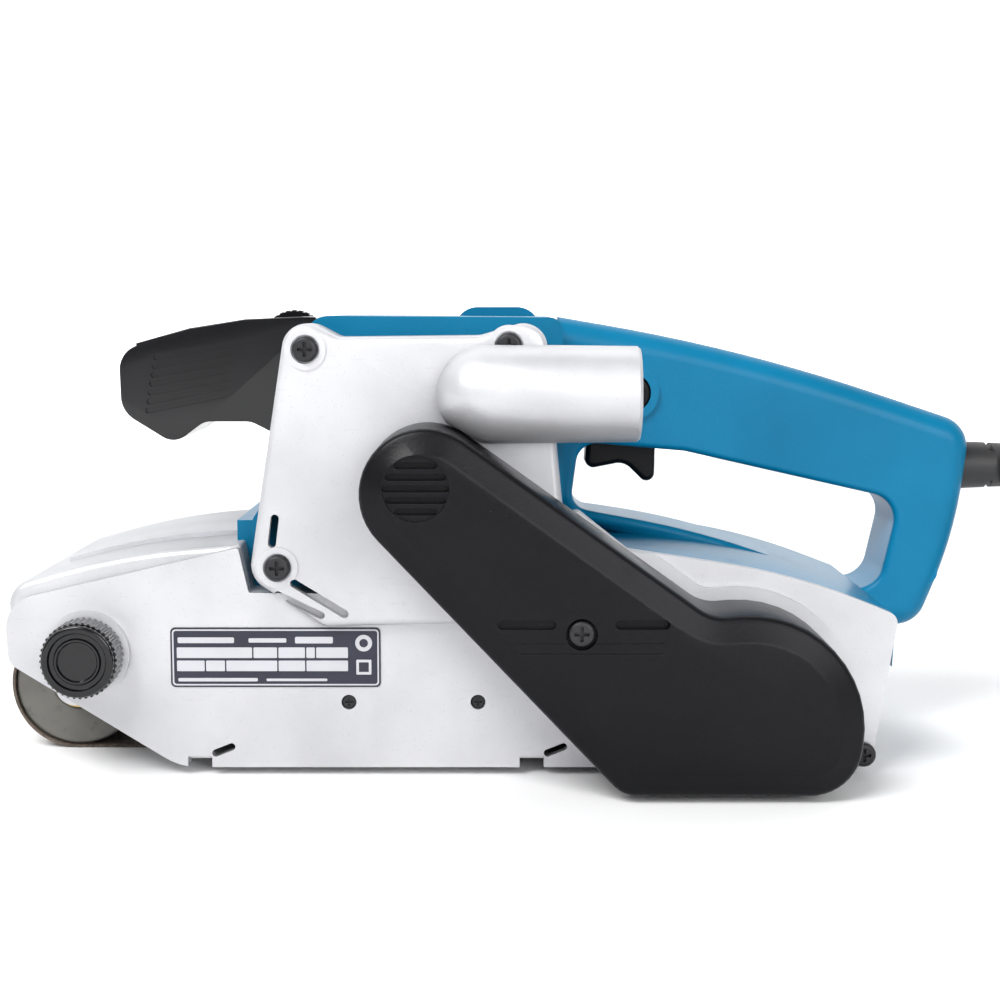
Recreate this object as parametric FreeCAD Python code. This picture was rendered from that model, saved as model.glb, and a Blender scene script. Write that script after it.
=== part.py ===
"""Handheld belt sander for a 76 x 610 mm abrasive belt.

Frame: X runs from the front roller to the rear handle, Y from the drive-cover side to the open
side, Z up. The origin is the middle of the flat sole, on the belt's centre plane. Millimetres.
"""
import FreeCAD, Part
import math
import os
from FreeCAD import Vector as V

# ---------------------------------------------------------------- driving dimensions
BELT_LENGTH = 610.0          # round the neutral line
BELT_WIDTH = 76.0
BELT_THICK = 1.0
ROLLER_R = 22.8
ROLLER_GAP = 0.2             # running gap between a roller and the belt
BELT_IN_R = ROLLER_R + ROLLER_GAP
AXLE_Z = BELT_IN_R + BELT_THICK
HALF_BASE = (BELT_LENGTH - 2 * math.pi * (BELT_IN_R + BELT_THICK / 2)) / 4
FRONT_X, REAR_X = -HALF_BASE, HALF_BASE
BELT_L, BELT_R = -BELT_WIDTH / 2, BELT_WIDTH / 2

COVER_Y = -116.0             # outer face of the drive cover
FAN_Y = -80.0                # outer face of the fan cover and of the raised pad
WALL_Y = -76.0               # outer face of the frame's left wall
WALL_T = 4.0
INNER_L, INNER_R = -46.0, -42.0   # the frame's wall beside the belt
DECK_RIGHT = 42.0
SHEET_T = 3.0                # wall of the casting
SOLE_GAP = 2.8               # underside of the casting above the work

MOTOR_X, MOTOR_Z = 14.0, 101.0
SPOUT_Y, SPOUT_Z = -84.0, 132.6
SPOUT_R, SPOUT_BORE = 16.0, 14.0
SPOUT_END = 86.3
SPOUT_FREE = 60.0             # from here to its end the spout stands clear of the cover

GEAR_MODULE = 1.25
PINION_TEETH, WHEEL_TEETH = 12, 26
GEAR_DISTANCE = GEAR_MODULE * (PINION_TEETH + WHEEL_TEETH) / 2
COUNTER_ANGLE = math.radians(135)
COUNTER_X = REAR_X + GEAR_DISTANCE * math.cos(COUNTER_ANGLE)
COUNTER_Z = AXLE_Z + GEAR_DISTANCE * math.sin(COUNTER_ANGLE)
GEAR_Y0, GEAR_Y1 = -66.0, -57.5
MOTOR_REAR_X = 61.5

PULLEY_Y0, PULLEY_Y1 = -106.0, -93.0
SMALL_PULLEY_R, BIG_PULLEY_R = 8.75, 17.5
RIB_DEEP, RIB_WIDE, RIB_PITCH, RIBS = 1.5, 1.3, 2.34, 5

HANDLE_HALF = 18.0           # half the width of the rear handle
KNOB_X, KNOB_Z, KNOB_R = -102.7, 42.9, 13.2

CORD_D = 8.0
GUARD_X0, GUARD_X1 = 211.0, 273.0
CORD_Z = 101.3


# ---------------------------------------------------------------- drawing helpers
def tangent_path(stops, y=0.0):
    """Closed wire in the plane y round (x, z, r, turn) stops, joined by their tangent lines.

    turn is +1 where the path bends left round the stop and -1 where it bends right.
    """
    n = len(stops)
    runs = []
    for i in range(n):
        (x0, z0, r0, s0), (x1, z1, r1, s1) = stops[i], stops[(i + 1) % n]
        dx, dz = x1 - x0, z1 - z0
        reach = math.hypot(dx, dz)
        ex, ez = dx / reach, dz / reach
        a = (s1 * r1 - s0 * r0) / reach
        b = math.sqrt(1 - a * a)
        nx, nz = a * ex - b * ez, a * ez + b * ex
        runs.append((V(x0 - s0 * r0 * nx, y, z0 - s0 * r0 * nz),
                     V(x1 - s1 * r1 * nx, y, z1 - s1 * r1 * nz),
                     math.atan2(-nx, nz)))
    edges = []
    for i in range(n):
        x, z, r, turn = stops[i]
        arrive, leave = runs[i - 1], runs[i]
        if r > 0:
            sweep = (leave[2] - arrive[2]) * turn % (2 * math.pi) * turn
            if abs(sweep) > 1e-6 and abs(sweep) < 2 * math.pi - 1e-6:
                ox, oz = arrive[1].x - x, arrive[1].z - z
                c, s = math.cos(sweep / 2), math.sin(sweep / 2)
                middle = V(x + ox * c - oz * s, y, z + ox * s + oz * c)
                edges.append(Part.Arc(arrive[1], middle, leave[0]).toShape())
        if (leave[1] - leave[0]).Length > 1e-6:
            edges.append(Part.LineSegment(leave[0], leave[1]).toShape())
    return Part.Wire(edges)


def face(stops):
    return Part.Face(tangent_path(stops))


def extrude(flat, y0, y1):
    """A face drawn in the plane y = 0, made solid between y0 and y1."""
    solid = flat.copy()
    solid.translate(V(0, y0, 0))
    return solid.extrude(V(0, y1 - y0, 0))


def inset(flat, by):
    return flat.makeOffset2D(-by)


def rod(x, z, r, y0, y1):
    return Part.makeCylinder(r, y1 - y0, V(x, y0, z), V(0, 1, 0))


def tube(x, z, r_out, r_in, y0, y1):
    return rod(x, z, r_out, y0, y1).cut(rod(x, z, r_in, y0 - 1, y1 + 1))


def block(x0, x1, y0, y1, z0, z1):
    return Part.makeBox(x1 - x0, y1 - y0, z1 - z0, V(x0, y0, z0))


def slot(x0, z0, x1, z1, wide, y0, y1):
    """A round-ended slot from one end centre to the other."""
    r = wide / 2
    return extrude(face([(x0, z0, r, 1), (x1, z1, r, 1)]), y0, y1)


def fuse(shapes):
    return shapes[0].multiFuse(shapes[1:]).removeSplitter()


def soften(solid, radius, pick):
    """Fillets the edges that pick accepts; each try is smaller if the kernel refuses."""
    edges = [e for e in solid.Edges if pick(e)]
    for r in (radius, radius * 0.7, radius * 0.45):
        try:
            done = solid.makeFillet(r, edges)
            if done.isValid() and done.Volume > 0:
                return done
        except Exception:
            continue
    print("left sharp:", radius)
    return solid


def on_plane(y, tol=0.02):
    def pick(edge):
        box = edge.BoundBox
        return abs(box.YMin - y) < tol and abs(box.YMax - y) < tol
    return pick


def lies_on(edge, wire):
    middle = Part.Vertex(edge.valueAt((edge.FirstParameter + edge.LastParameter) / 2))
    return middle.distToShape(wire)[0] < 0.05


def runs_low(edge):
    box = edge.BoundBox
    return box.XMin < 62.0 and (box.ZMax < 90.0 or box.XMax < 62.0)


def save(name, shape):
    solids = shape.Solids
    body = solids[0] if len(solids) == 1 else Part.makeCompound(solids)
    if not solids or not body.isValid():
        print("PROBLEM", name, len(solids), body.isValid())
    body.exportStep(f"parts/{name}.step")
    print(f"{name}: {len(solids)} solid(s), {body.Volume / 1000:.2f} cm3")


os.makedirs("parts", exist_ok=True)

# ---------------------------------------------------------------- side outlines (x, z, r, turn)
PLATE_FRONT = [(-118.5, 51.3, 12.0, 1), (-124.5, 42.5, 5.5, 1)]
DECK_CROWN = (-48.2, -160.5, 240.0, 1)
DECK_FRONT = [DECK_CROWN, (-121.5, 58.8, 9.0, 1), (-124.5, 42.5, 5.5, 1)]
BODY_PATH = [(-65.0, SOLE_GAP + 22, 22.0, 1), (165.0, SOLE_GAP + 5, 5.0, 1),
             (158.0, 38.0, 12.0, 1), (136.0, 43.0, 18.0, 1), (60.0, 62.0, 1.0, 1),
             (-46.0, 65.0, 1.0, -1), (-51.0, 79.0, 1.0, 1)] + DECK_FRONT
WALL_PATH = [(-65.0, SOLE_GAP + 22, 22.0, 1), (163.0, SOLE_GAP + 6, 6.0, 1),
             (172.2, 53.4, 4.0, 1), (79.9, -153.4, 230.4, 1), (84.0, 81.0, 2.0, -1),
             (65.5, 90.0, 2.5, 1), (60.0, 66.0, 3.0, -1),
             (-46.0, 65.0, 1.0, -1), (-51.0, 78.4, 1.0, 1)] + PLATE_FRONT
COVER_PATH = [(84.0, 12.5, 10.0, 1), (141.0, 19.5, 17.0, 1), (120.5, 24.5, 38.0, 1),
              (112.0, 76.0, 14.0, -1), (15.5, 101.5, 21.5, 1)]
FAN_PATH = [(-19.0, 58.7, 6.0, 1), (58.0, 60.7, 6.0, 1), (47.5, 148.0, 8.0, 1),
            (32.0, 157.0, 5.0, -1), (-13.5, 156.5, 5.0, -1), (-25.5, 147.5, 8.5, 1),
            (-36.5, 74.0, 9.0, 1)]
MOTOR_PATH = [(-44.0, 62.0, 3.0, 1), (58.5, 62.0, 3.0, 1), (56.5, 153.0, 5.0, 1),
              (-20.0, 150.5, 8.0, 1), (-24.5, 143.0, 8.0, 1), (-48.0, 101.0, 8.0, -1),
              (-43.0, 86.0, 4.5, 1)]
GRIP_PATH = [(-58.0, 113.0, 6.0, -1), (-38.0, 114.0, 2.0, 1), (-30.0, 155.5, 3.0, 1),
             (-62.0, 115.0, 40.0, 1), (-94.5, 137.0, 9.0, 1), (-92.5, 126.5, 10.5, 1),
             (-86.0, 118.0, 6.0, 1), (-71.0, 112.5, 6.5, -1)]
HANDLE_OUTER = [(179.0, 46.0, 4.0, 1), (190.0, 53.0, 11.8, 1), (55.4, 115.6, 160.0, 1),
                (203.6, 109.0, 12.0, 1), (-40.0, -535.0, 700.0, 1),
                (MOTOR_REAR_X, 157.8, 0.0, 1), (MOTOR_REAR_X, 84.0, 0.0, 1)]
OPENING = [(37.0, -213.0, 300.0, -1), (174.0, 66.0, 10.0, 1), (177.5, 82.0, 10.0, 1),
           (107.0, 98.0, 10.0, 1), (75.5, 103.2, 7.5, 1), (74.0, 92.5, 7.4, 1)]

belt_cover_face = face(COVER_PATH)
fan_face = face(FAN_PATH)
wall_face = face(WALL_PATH)
body_face = face(BODY_PATH)
motor_face = face(MOTOR_PATH)


# ---------------------------------------------------------------- screws
def pan_screw(x, z, y_seat, head_r, head_t, shank_r, shank_l):
    """Pan-head screw driven towards +Y, with a cross recess; its head sits on y_seat."""
    head = rod(x, z, head_r, y_seat - head_t, y_seat)
    head = soften(head, head_t * 0.45, on_plane(y_seat - head_t))
    shank = rod(x, z, shank_r, y_seat, y_seat + shank_l)
    arm, thin = head_r * 0.55, head_r * 0.13
    deep = head_t * 0.55
    recess = fuse([block(x - arm, x + arm, y_seat - head_t - 1, y_seat - head_t + deep,
                         z - thin, z + thin),
                   block(x - thin, x + thin, y_seat - head_t - 1, y_seat - head_t + deep,
                         z - arm, z + arm)])
    return head.fuse(shank).cut(recess)


FAN_SCREWS = [(-25.9, 147.4), (42.5, 148.6), (-36.2, 73.4), (56.0, 73.0)]
FAN_SCREW_SEAT = FAN_Y + 0.4
SCREW_R, SCREW_SHANK = 4.4, 2.0
COVER_SCREW = (65.8, 57.0)
REAR_SCREW = (165.3, 7.6)



ACCESS_HOLES, ACCESS_Z = (-12.7, 31.9), 25.8
HOOK_XS = (-64.5, 50.5)
LEVER_X, LEVER_Z, LEVER_LONG = -30.0, 23.5, 26.0
SHOE_SCREWS = [(-60.0, 20.0), (60.0, 20.0), (-60.0, -20.0), (60.0, -20.0)]
BRUSH_Y = 19.0
DIAL_X, DIAL_Z, DIAL_R = -38.5, 148.2, 12.2
VENT_X, VENT_Z, VENT_R = 12.6, 104.0, 10.8
HANDLE_SCREWS = [(118.0, 112.4), (200.0, 62.0), (172.0, 119.0)]
LOCK_X, LOCK_Z = 88.5, 129.8
GUARD_R = 9.4


# ---------------------------------------------------------------- the aluminium frame
def shell(flat):
    return flat.cut(inset(flat, SHEET_T))


def main_frame():
    """Casting: gear box rim, wall beside the belt, deck over the belt and the sole's beam."""
    rim = extrude(shell(body_face), WALL_Y + WALL_T, INNER_L)
    lip = body_face.cut(inset(wall_face, SHEET_T))
    lip = extrude(lip, WALL_Y + WALL_T, -66.0).common(block(-140, -52, -80, -60, 46, 90))
    rim = rim.fuse(lip).removeSplitter()
    outline = tangent_path(BODY_PATH, WALL_Y + WALL_T)
    rim = soften(rim, 3.6, lambda e: on_plane(WALL_Y + WALL_T)(e) and e.BoundBox.XMax < -50.0
                 and e.BoundBox.ZMin > 57.0 and lies_on(e, outline))
    crown = rod(DECK_CROWN[0], DECK_CROWN[1], DECK_CROWN[2] + 1.4, -38.4, -35.4)
    crown = crown.cut(rod(DECK_CROWN[0], DECK_CROWN[1], DECK_CROWN[2] - 1.6, -40, -34))
    crown = crown.common(block(-117.0, -53.0, -40, -34, 60, 90))
    inner = extrude(body_face, INNER_L, INNER_R)
    inner = inner.cut(block(-140, -88, INNER_L - 1, INNER_R + 1, -5, 52))
    region = block(-140, 200, INNER_R, DECK_RIGHT, 50.5, 130).fuse(
        block(142, 200, INNER_R, DECK_RIGHT, 2, 60))
    deck = extrude(shell(body_face), INNER_R, DECK_RIGHT).common(region)
    beam = block(-84, 88, INNER_R, 29, 6.2, 41).cut(block(-80, 84, INNER_R + 4, 25, 10, 37))
    parts = [rim, inner, deck, beam, crown]
    parts.append(rod(COUNTER_X, COUNTER_Z, 10.5, -54.0, INNER_L))
    parts.append(rod(REAR_X, AXLE_Z, 15.5, -54.0, INNER_L))
    parts.append(block(-46, -42.5, WALL_Y + WALL_T, INNER_L, 4, 27))
    for x in ACCESS_HOLES:
        parts.append(rod(x, ACCESS_Z, 4.5, WALL_Y + WALL_T, INNER_L))
    frame = fuse(parts)
    holes = [rod(COUNTER_X, COUNTER_Z, 8.0, -55.0, -48.0),
             rod(COUNTER_X, COUNTER_Z, 5.0, -49.0, INNER_L + 1),
             rod(REAR_X, AXLE_Z, 13.0, -55.0, -45.0),
             rod(REAR_X, AXLE_Z, 8.0, -46.0, INNER_R + 1),
             rod(LEVER_X, LEVER_Z, 3.05, -50.0, 40.0),
             rod(*COVER_SCREW, 4.8, WALL_Y, WALL_Y + 8.5),
             block(-100, -55, -62.0, INNER_R + 1, 17.6, 30.4)]
    for x in ACCESS_HOLES:
        holes.append(rod(x, ACCESS_Z, 1.5, WALL_Y + WALL_T - 1, INNER_L - 4))
    for x, y in SHOE_SCREWS:
        holes.append(Part.makeCylinder(1.8, 8, V(x, y, 4)))
    for x in HOOK_XS:
        holes.append(block(x - 4.2, x + 4.2, WALL_Y, INNER_L - 6, 0, 5.0))
    frame = frame.cut(fuse(holes))
    return max(frame.Solids, key=lambda s: s.Volume)


def side_plate():
    """Cast plate that closes the gear box and carries the knob, name plate and cover pads."""
    left = extrude(wall_face, WALL_Y, WALL_Y + WALL_T)
    pad = belt_cover_face.makeOffset2D(4.0).common(wall_face)
    pad = pad.cut(fan_face.makeOffset2D(0.5))
    pad = extrude(pad, FAN_Y, WALL_Y)
    parts = [left] + [s for s in pad.Solids if s.Volume > 200]
    parts.append(rod(KNOB_X, KNOB_Z, 15.0, WALL_Y - 2.2, WALL_Y + 1))
    parts.append(rod(KNOB_X, KNOB_Z, 7.0, WALL_Y + 1, WALL_Y + 14))
    parts.append(rod(COUNTER_X, COUNTER_Z, 13.5, FAN_Y, -70.0))
    parts.append(rod(REAR_X, AXLE_Z, 11.0, WALL_Y + 1, -68.5))
    parts.append(rod(*COVER_SCREW, 4.5, FAN_Y, WALL_Y + 8))
    plate = fuse(parts)
    holes = [rod(COUNTER_X, COUNTER_Z, 11.0, FAN_Y - 1, -72.5),
             rod(COUNTER_X, COUNTER_Z, 6.0, -74, -69),
             rod(REAR_X, AXLE_Z, 9.5, -74.5, -68.0),
             rod(KNOB_X, KNOB_Z, 3.05, WALL_Y - 3, WALL_Y + 15),
             rod(*COVER_SCREW, 1.8, FAN_Y - 1, WALL_Y + 7),
             rod(*REAR_SCREW, SCREW_SHANK, WALL_Y - 1, WALL_Y + 5)]
    for x in ACCESS_HOLES:
        holes.append(rod(x, ACCESS_Z, 2.6, WALL_Y - 1, WALL_Y + 2.2))
        holes.append(rod(x, ACCESS_Z, 1.5, WALL_Y, WALL_Y + 5))
    for x in HOOK_XS:
        holes.append(block(x - 4.2, x + 4.2, WALL_Y - 1, WALL_Y + WALL_T + 1, 0, 6.6))
        holes.append(slot(x + 5.5, 7.8, x + 11.0, 10.0, 2.6, WALL_Y - 1, WALL_Y + WALL_T + 1))
    plate = plate.cut(fuse(holes)).cut(extrude(fan_face.makeOffset2D(0.5), FAN_Y - 1, WALL_Y))
    return max(plate.Solids, key=lambda s: s.Volume)


# ---------------------------------------------------------------- covers and housings
def fan_cover():
    plate = extrude(fan_face, FAN_Y, FAN_Y + 3.7)
    skirt = extrude(shell(fan_face), FAN_Y + 3.7, -60.0)
    scroll = tube(MOTOR_X, MOTOR_Z, 29.0, 26.5, FAN_Y + 3.7, -62.0)
    scroll = scroll.common(extrude(inset(fan_face, 1.0), -90, -50))
    inner = fuse([skirt, scroll]).cut(extrude(fuse_faces(body_face, wall_face), -90, -50))
    barrel = Part.makeCylinder(SPOUT_R, SPOUT_END - 50.0, V(50.0, SPOUT_Y, SPOUT_Z), V(1, 0, 0))
    root = Part.makeCylinder(SPOUT_R + 0.7, SPOUT_FREE - 36.0, V(36.0, SPOUT_Y, SPOUT_Z), V(1, 0, 0))
    dome = Part.makeSphere(SPOUT_R + 0.7, V(36.0, SPOUT_Y, SPOUT_Z))
    dome = dome.common(block(0, 36.0, -110, FAN_Y + 2, 100, 160))
    dome = dome.cut(extrude(belt_cover_face.makeOffset2D(0.8), -120, FAN_Y))
    boss = rod(MOTOR_X, MOTOR_Z, 14.0, FAN_Y - 4, -70.0)
    posts = [rod(x, z, 5.0, FAN_Y + 3, -60.0) for x, z in FAN_SCREWS if z > 80]
    cover = fuse([plate, inner, barrel, root, dome, boss] + posts)
    bore = Part.makeCylinder(SPOUT_BORE, SPOUT_END, V(49.0, SPOUT_Y, SPOUT_Z), V(1, 0, 0))
    mouth = block(26.0, 50.0, -88.0, -70.0, SPOUT_Z - 8, SPOUT_Z + 8)
    holes = [bore, mouth, rod(MOTOR_X, MOTOR_Z, 11.0, FAN_Y - 5, -72.5),
             rod(MOTOR_X, MOTOR_Z, 5.5, -74, -69)]
    for x, z in FAN_SCREWS:
        holes.append(rod(x, z, SCREW_SHANK, FAN_Y - 1, -55))
        holes.append(rod(x, z, SCREW_R + 0.4, FAN_Y - 4, FAN_SCREW_SEAT))
    holes.append(slot(-36.9, 90.2, -38.0, 81.6, 2.8, FAN_Y - 1, FAN_Y + 5))
    holes.append(slot(-30.6, 67.9, -13.6, 57.4, 2.9, FAN_Y - 1, FAN_Y + 5))
    holes.append(slot(-36.2, 64.0, -21.6, 56.9, 2.6, FAN_Y - 1, FAN_Y + 5))
    cover = cover.cut(fuse(holes))
    return max(cover.Solids, key=lambda s: s.Volume)


def fuse_faces(first, second):
    return first.fuse(second)


def belt_cover():
    outer = extrude(belt_cover_face, COVER_Y, FAN_Y - 0.2)
    outer = soften(outer, 5.5, on_plane(COVER_Y))
    hollow = extrude(inset(belt_cover_face, 2.4), COVER_Y + 3.0, FAN_Y + 1)
    post = rod(*COVER_SCREW, 5.6, COVER_Y + 2, FAN_Y - 0.2)
    post = post.common(extrude(belt_cover_face, -120, -70))
    cover = outer.cut(hollow).fuse(post)
    holes = [rod(*COVER_SCREW, 4.8, COVER_Y - 1, COVER_Y + 3.4),
             rod(*COVER_SCREW, 2.1, COVER_Y, FAN_Y + 1),
             slot(40.2, 60.2, 56.0, 60.2, 3.0, COVER_Y - 1, COVER_Y + 1.4),
             slot(78.0, 60.2, 92.6, 60.2, 3.0, COVER_Y - 1, COVER_Y + 5),
             rod(VENT_X, VENT_Z, VENT_R, COVER_Y - 1, COVER_Y + 1.2)]
    for k in range(-2, 3):
        half = math.sqrt(VENT_R ** 2 - (3.6 * abs(k) + 1.0) ** 2) - 1.2
        holes.append(slot(VENT_X - half, VENT_Z + 3.6 * k, VENT_X + half, VENT_Z + 3.6 * k,
                          1.7, COVER_Y - 1, COVER_Y + 5))
    return cover.cut(fuse(holes))


def motor_housing():
    body = extrude(motor_face, -60.0, 22.0)
    body = soften(body, 7.0, lambda e: on_plane(22.0)(e) and e.BoundBox.ZMin > 61)
    barrel = soften(rod(MOTOR_X, MOTOR_Z, 35.0, 10.0, 46.0), 6.0, on_plane(46.0))
    bump = slot(31.0, 153.0, 46.0, 153.0, 17.0, -8, 8)
    foot = block(-53.0, -40.0, -58.0, 14.0, 72.0, 87.0)
    body = fuse([body, barrel, bump, foot]).cut(extrude(body_face, -90, 60))
    holes = [rod(MOTOR_X, MOTOR_Z, 31.0, -55.0, 27.0),
             rod(MOTOR_X, MOTOR_Z, 30.0, 26.0, 42.5),
             block(-24.0, 52.0, -54.0, 14.0, 138.0, 150.0),
             block(50.0, 66.0, -7.0, 7.0, 124.0, 146.0),
             rod(MOTOR_X, MOTOR_Z, 10.0, -61, -54),
             rod(DIAL_X, DIAL_Z, DIAL_R + 0.6, -3.4, 3.4),
             rod(DIAL_X, DIAL_Z, 2.2, 3.0, 10.5),
             block(-46.5, -34.6, 4.6, 15.4, 138.6, 151.4)]
    for x, z in FAN_SCREWS:
        holes.append(rod(x, z, SCREW_SHANK, -61, -44))
    for side in (-1, 1):
        start = V(MOTOR_X + side * 16, BRUSH_Y, MOTOR_Z)
        holes.append(Part.makeCylinder(6.2, 33, start, V(side, 0, 0)))
    for k in range(12):
        a = math.radians(30 * k + 15)
        cx, cz = MOTOR_X + 20 * math.cos(a), MOTOR_Z + 20 * math.sin(a)
        ex, ez = 6 * math.cos(a), 6 * math.sin(a)
        holes.append(slot(cx - ex, cz - ez, cx + ex, cz + ez, 3.0, 41, 47))
    body = body.cut(fuse(holes))
    body = body.fuse(tube(MOTOR_X, MOTOR_Z, 12.5, 9.5, 34.0, 43.0))
    return max(body.Solids, key=lambda s: s.Volume)


def front_grip():
    flat = face(GRIP_PATH)
    grip = soften(extrude(flat, -27.0, 27.0), 8.0, lambda e: on_plane(-27.0)(e) or on_plane(27.0)(e))
    core = extrude(inset(flat, 4.0), -20.0, 20.0)
    grip = grip.cut(core).cut(rod(DIAL_X, DIAL_Z, DIAL_R + 0.6, -3.4, 3.4))
    grip = grip.cut(extrude(motor_face.makeOffset2D(0.05), -61, 30))
    return max(grip.Solids, key=lambda s: s.Volume)


def handle_half(side):
    """side -1 is the half on the drive-cover side, +1 the other."""
    y0, y1 = (-HANDLE_HALF, 0.0) if side < 0 else (0.0, HANDLE_HALF)
    rim = on_plane(side * HANDLE_HALF)
    grip = extrude(face(HANDLE_OUTER), y0, y1)
    grip = soften(grip, 8.0, lambda e: rim(e) and not runs_low(e))
    grip = grip.cut(extrude(face(OPENING), -30, 30))
    gap_wire = tangent_path(OPENING, side * HANDLE_HALF)
    grip = soften(grip, 5.0, lambda e: rim(e) and lies_on(e, gap_wire))
    low = face([(MOTOR_REAR_X, 40.0, 0.0, 1), (175.0, 30.0, 0.0, 1), (173.6, 53.8, 3.0, 1),
                (79.9, -153.4, 230.0, 1), (MOTOR_REAR_X, 76.2, 0.0, 1)])
    s0, s1 = (WALL_Y + WALL_T, 0.0) if side < 0 else (0.0, DECK_RIGHT - 2)
    saddle = extrude(low, s0, s1)
    half = grip.fuse(saddle).cut(extrude(body_face, -90, 60))
    half = half.cut(block(MOTOR_REAR_X, 175.5, -90, 60, 0, 44.0))
    thin0 = y0 if side > 0 else y0 + 3
    thin1 = y1 - 3 if side > 0 else y1
    half = half.cut(extrude(face(HOLLOW), thin0, thin1))
    holes = [block(70.4, 100.2, -8.6, 8.6, 90, 122),
             block(55, 80, -7.0, 7.0, 124.0, 146.0),
             Part.makeCylinder(GUARD_R, 12, V(209, 0, CORD_Z), V(1, 0, 0)),
             Part.makeCylinder(6.0, 30, V(185, 0, CORD_Z), V(1, 0, 0))]
    if side < 0:
        rim = tube(LOCK_X, LOCK_Z, 10.0, 7.1, -HANDLE_HALF - 1.6, -HANDLE_HALF + 4)
        half = half.fuse(rim)
        holes.append(rod(LOCK_X, LOCK_Z, 7.1, -30, -14))
    for x, z in HANDLE_SCREWS:
        half = half.fuse(rod(x, z, 4.6, y0 + 2, y1 - 2 + (2 if side < 0 else 0)))
        if side > 0:
            holes.append(rod(x, z, 3.5, HANDLE_HALF - 3, 50))
            holes.append(rod(x, z, 1.6, -1, HANDLE_HALF))
        else:
            holes.append(rod(x, z, 1.6, -10, 1))
    half = half.cut(fuse(holes)).cut(extrude(fan_face.makeOffset2D(0.3), -90, -59.7))
    return max(half.Solids, key=lambda s: s.Volume)


HOLLOW = [(81.0, 119.0, 4.0, 1), (176.0, 104.0, 5.0, -1), (193.0, 76.0, 3.0, 1),
          (199.0, 76.0, 3.0, 1), (203.0, 104.0, 5.0, 1), (82.0, 141.0, 4.0, 1)]


# ---------------------------------------------------------------- screws, plate and knob
def fan_cover_screws():
    return [pan_screw(x, z, FAN_SCREW_SEAT, SCREW_R, 3.0, SCREW_SHANK, 16.0)
            for x, z in FAN_SCREWS]


def handle_screws():
    return [pan_screw(x, -z, -(HANDLE_HALF - 3), 3.3, 2.2, 1.5, 22.0).mirror(V(0, 0, 0), V(0, 0, 1))
            .mirror(V(0, 0, 0), V(0, 1, 0)) for x, z in HANDLE_SCREWS]


def plate_screws():
    return [pan_screw(x, ACCESS_Z, WALL_Y + 2.2, 2.5, 1.6, 1.45, 20.0) for x in ACCESS_HOLES]


def shoe_screws():
    screws = []
    for x, y in SHOE_SCREWS:
        head = Part.makeCylinder(3.4, 2.0, V(x, y, 10.0))
        shank = Part.makeCylinder(1.75, 7.4, V(x, y, 2.6))
        screws.append(head.fuse(shank))
    return screws


def nameplate():
    plate = block(-74.0, -1.5, WALL_Y - 0.5, WALL_Y, 31.1, 52.1)
    return soften(plate, 2.0, lambda e: e.BoundBox.YLength > 0.3 and e.BoundBox.ZLength < 0.1)


def tracking_knob():
    base = rod(KNOB_X, KNOB_Z, KNOB_R, -91.5, WALL_Y - 2.6)
    flutes = []
    for k in range(24):
        a = 2 * math.pi * k / 24
        flutes.append(rod(KNOB_X + 13.6 * math.cos(a), KNOB_Z + 13.6 * math.sin(a),
                          0.8, -95, WALL_Y))
    knob = base.cut(fuse(flutes)).cut(rod(KNOB_X, KNOB_Z, 9.6, -95, -89.6))
    knob = knob.fuse(rod(KNOB_X, KNOB_Z, 6.2, -90.6, -89))
    knob = knob.fuse(rod(KNOB_X, KNOB_Z, 2.95, -90, WALL_Y + 17))
    return knob


# ---------------------------------------------------------------- motor
def stator():
    core = tube(MOTOR_X, MOTOR_Z, 30.7, 25.0, -42.0, 4.0)
    poles = []
    for k in (0, 180):
        pole = tube(MOTOR_X, MOTOR_Z, 25.5, 19.4, -42.0, 4.0)
        wedge = block(MOTOR_X - 30, MOTOR_X + 30, -43, 5, MOTOR_Z + 4, MOTOR_Z + 32)
        wedge = wedge.cut(block(MOTOR_X - 30, MOTOR_X - 17, -43, 5, 90, 200))
        wedge = wedge.cut(block(MOTOR_X + 17, MOTOR_X + 30, -43, 5, 90, 200))
        piece = pole.common(wedge)
        piece.rotate(V(MOTOR_X, 0, MOTOR_Z), V(0, 1, 0), k)
        poles.append(piece)
    return fuse([core] + poles)


def field_coils():
    coils = []
    for k in (0, 180):
        ring = tube(MOTOR_X, MOTOR_Z, 24.6, 19.8, -48.0, 9.5)
        ring = ring.cut(rod(MOTOR_X, MOTOR_Z, 30, -42.3, 4.3))
        ring = ring.common(block(MOTOR_X - 22, MOTOR_X + 22, -60, 20, MOTOR_Z + 3, MOTOR_Z + 30))
        for y0, y1 in ((-60, -42), (4, 20)):
            piece = ring.common(block(-60, 80, y0, y1, 40, 160))
            piece.rotate(V(MOTOR_X, 0, MOTOR_Z), V(0, 1, 0), k)
            coils.append(piece)
    return coils


def armature():
    shaft = rod(MOTOR_X, MOTOR_Z, 4.0, -107.0, 42.0)
    core = rod(MOTOR_X, MOTOR_Z, 18.6, -41.0, 3.0)
    slots = []
    for k in range(12):
        a = 2 * math.pi * k / 12
        c, s = math.cos(a), math.sin(a)
        slots.append(slot(MOTOR_X + 14 * c, MOTOR_Z + 14 * s, MOTOR_X + 19.5 * c,
                          MOTOR_Z + 19.5 * s, 2.2, -42, 4))
    ends = [rod(MOTOR_X, MOTOR_Z, 16.0, -50.0, -41.0), rod(MOTOR_X, MOTOR_Z, 16.0, 3.0, 11.0)]
    return fuse([core.cut(fuse(slots)), shaft] + ends)


def commutator():
    body = tube(MOTOR_X, MOTOR_Z, 12.0, 4.02, 12.5, 26.0)
    cuts = []
    for k in range(24):
        cut = block(MOTOR_X + 11.2, MOTOR_X + 13, 12, 27, MOTOR_Z - 0.3, MOTOR_Z + 0.3)
        cut.rotate(V(MOTOR_X, 0, MOTOR_Z), V(0, 1, 0), 15 * k)
        cuts.append(cut)
    return body.cut(fuse(cuts))


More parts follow.
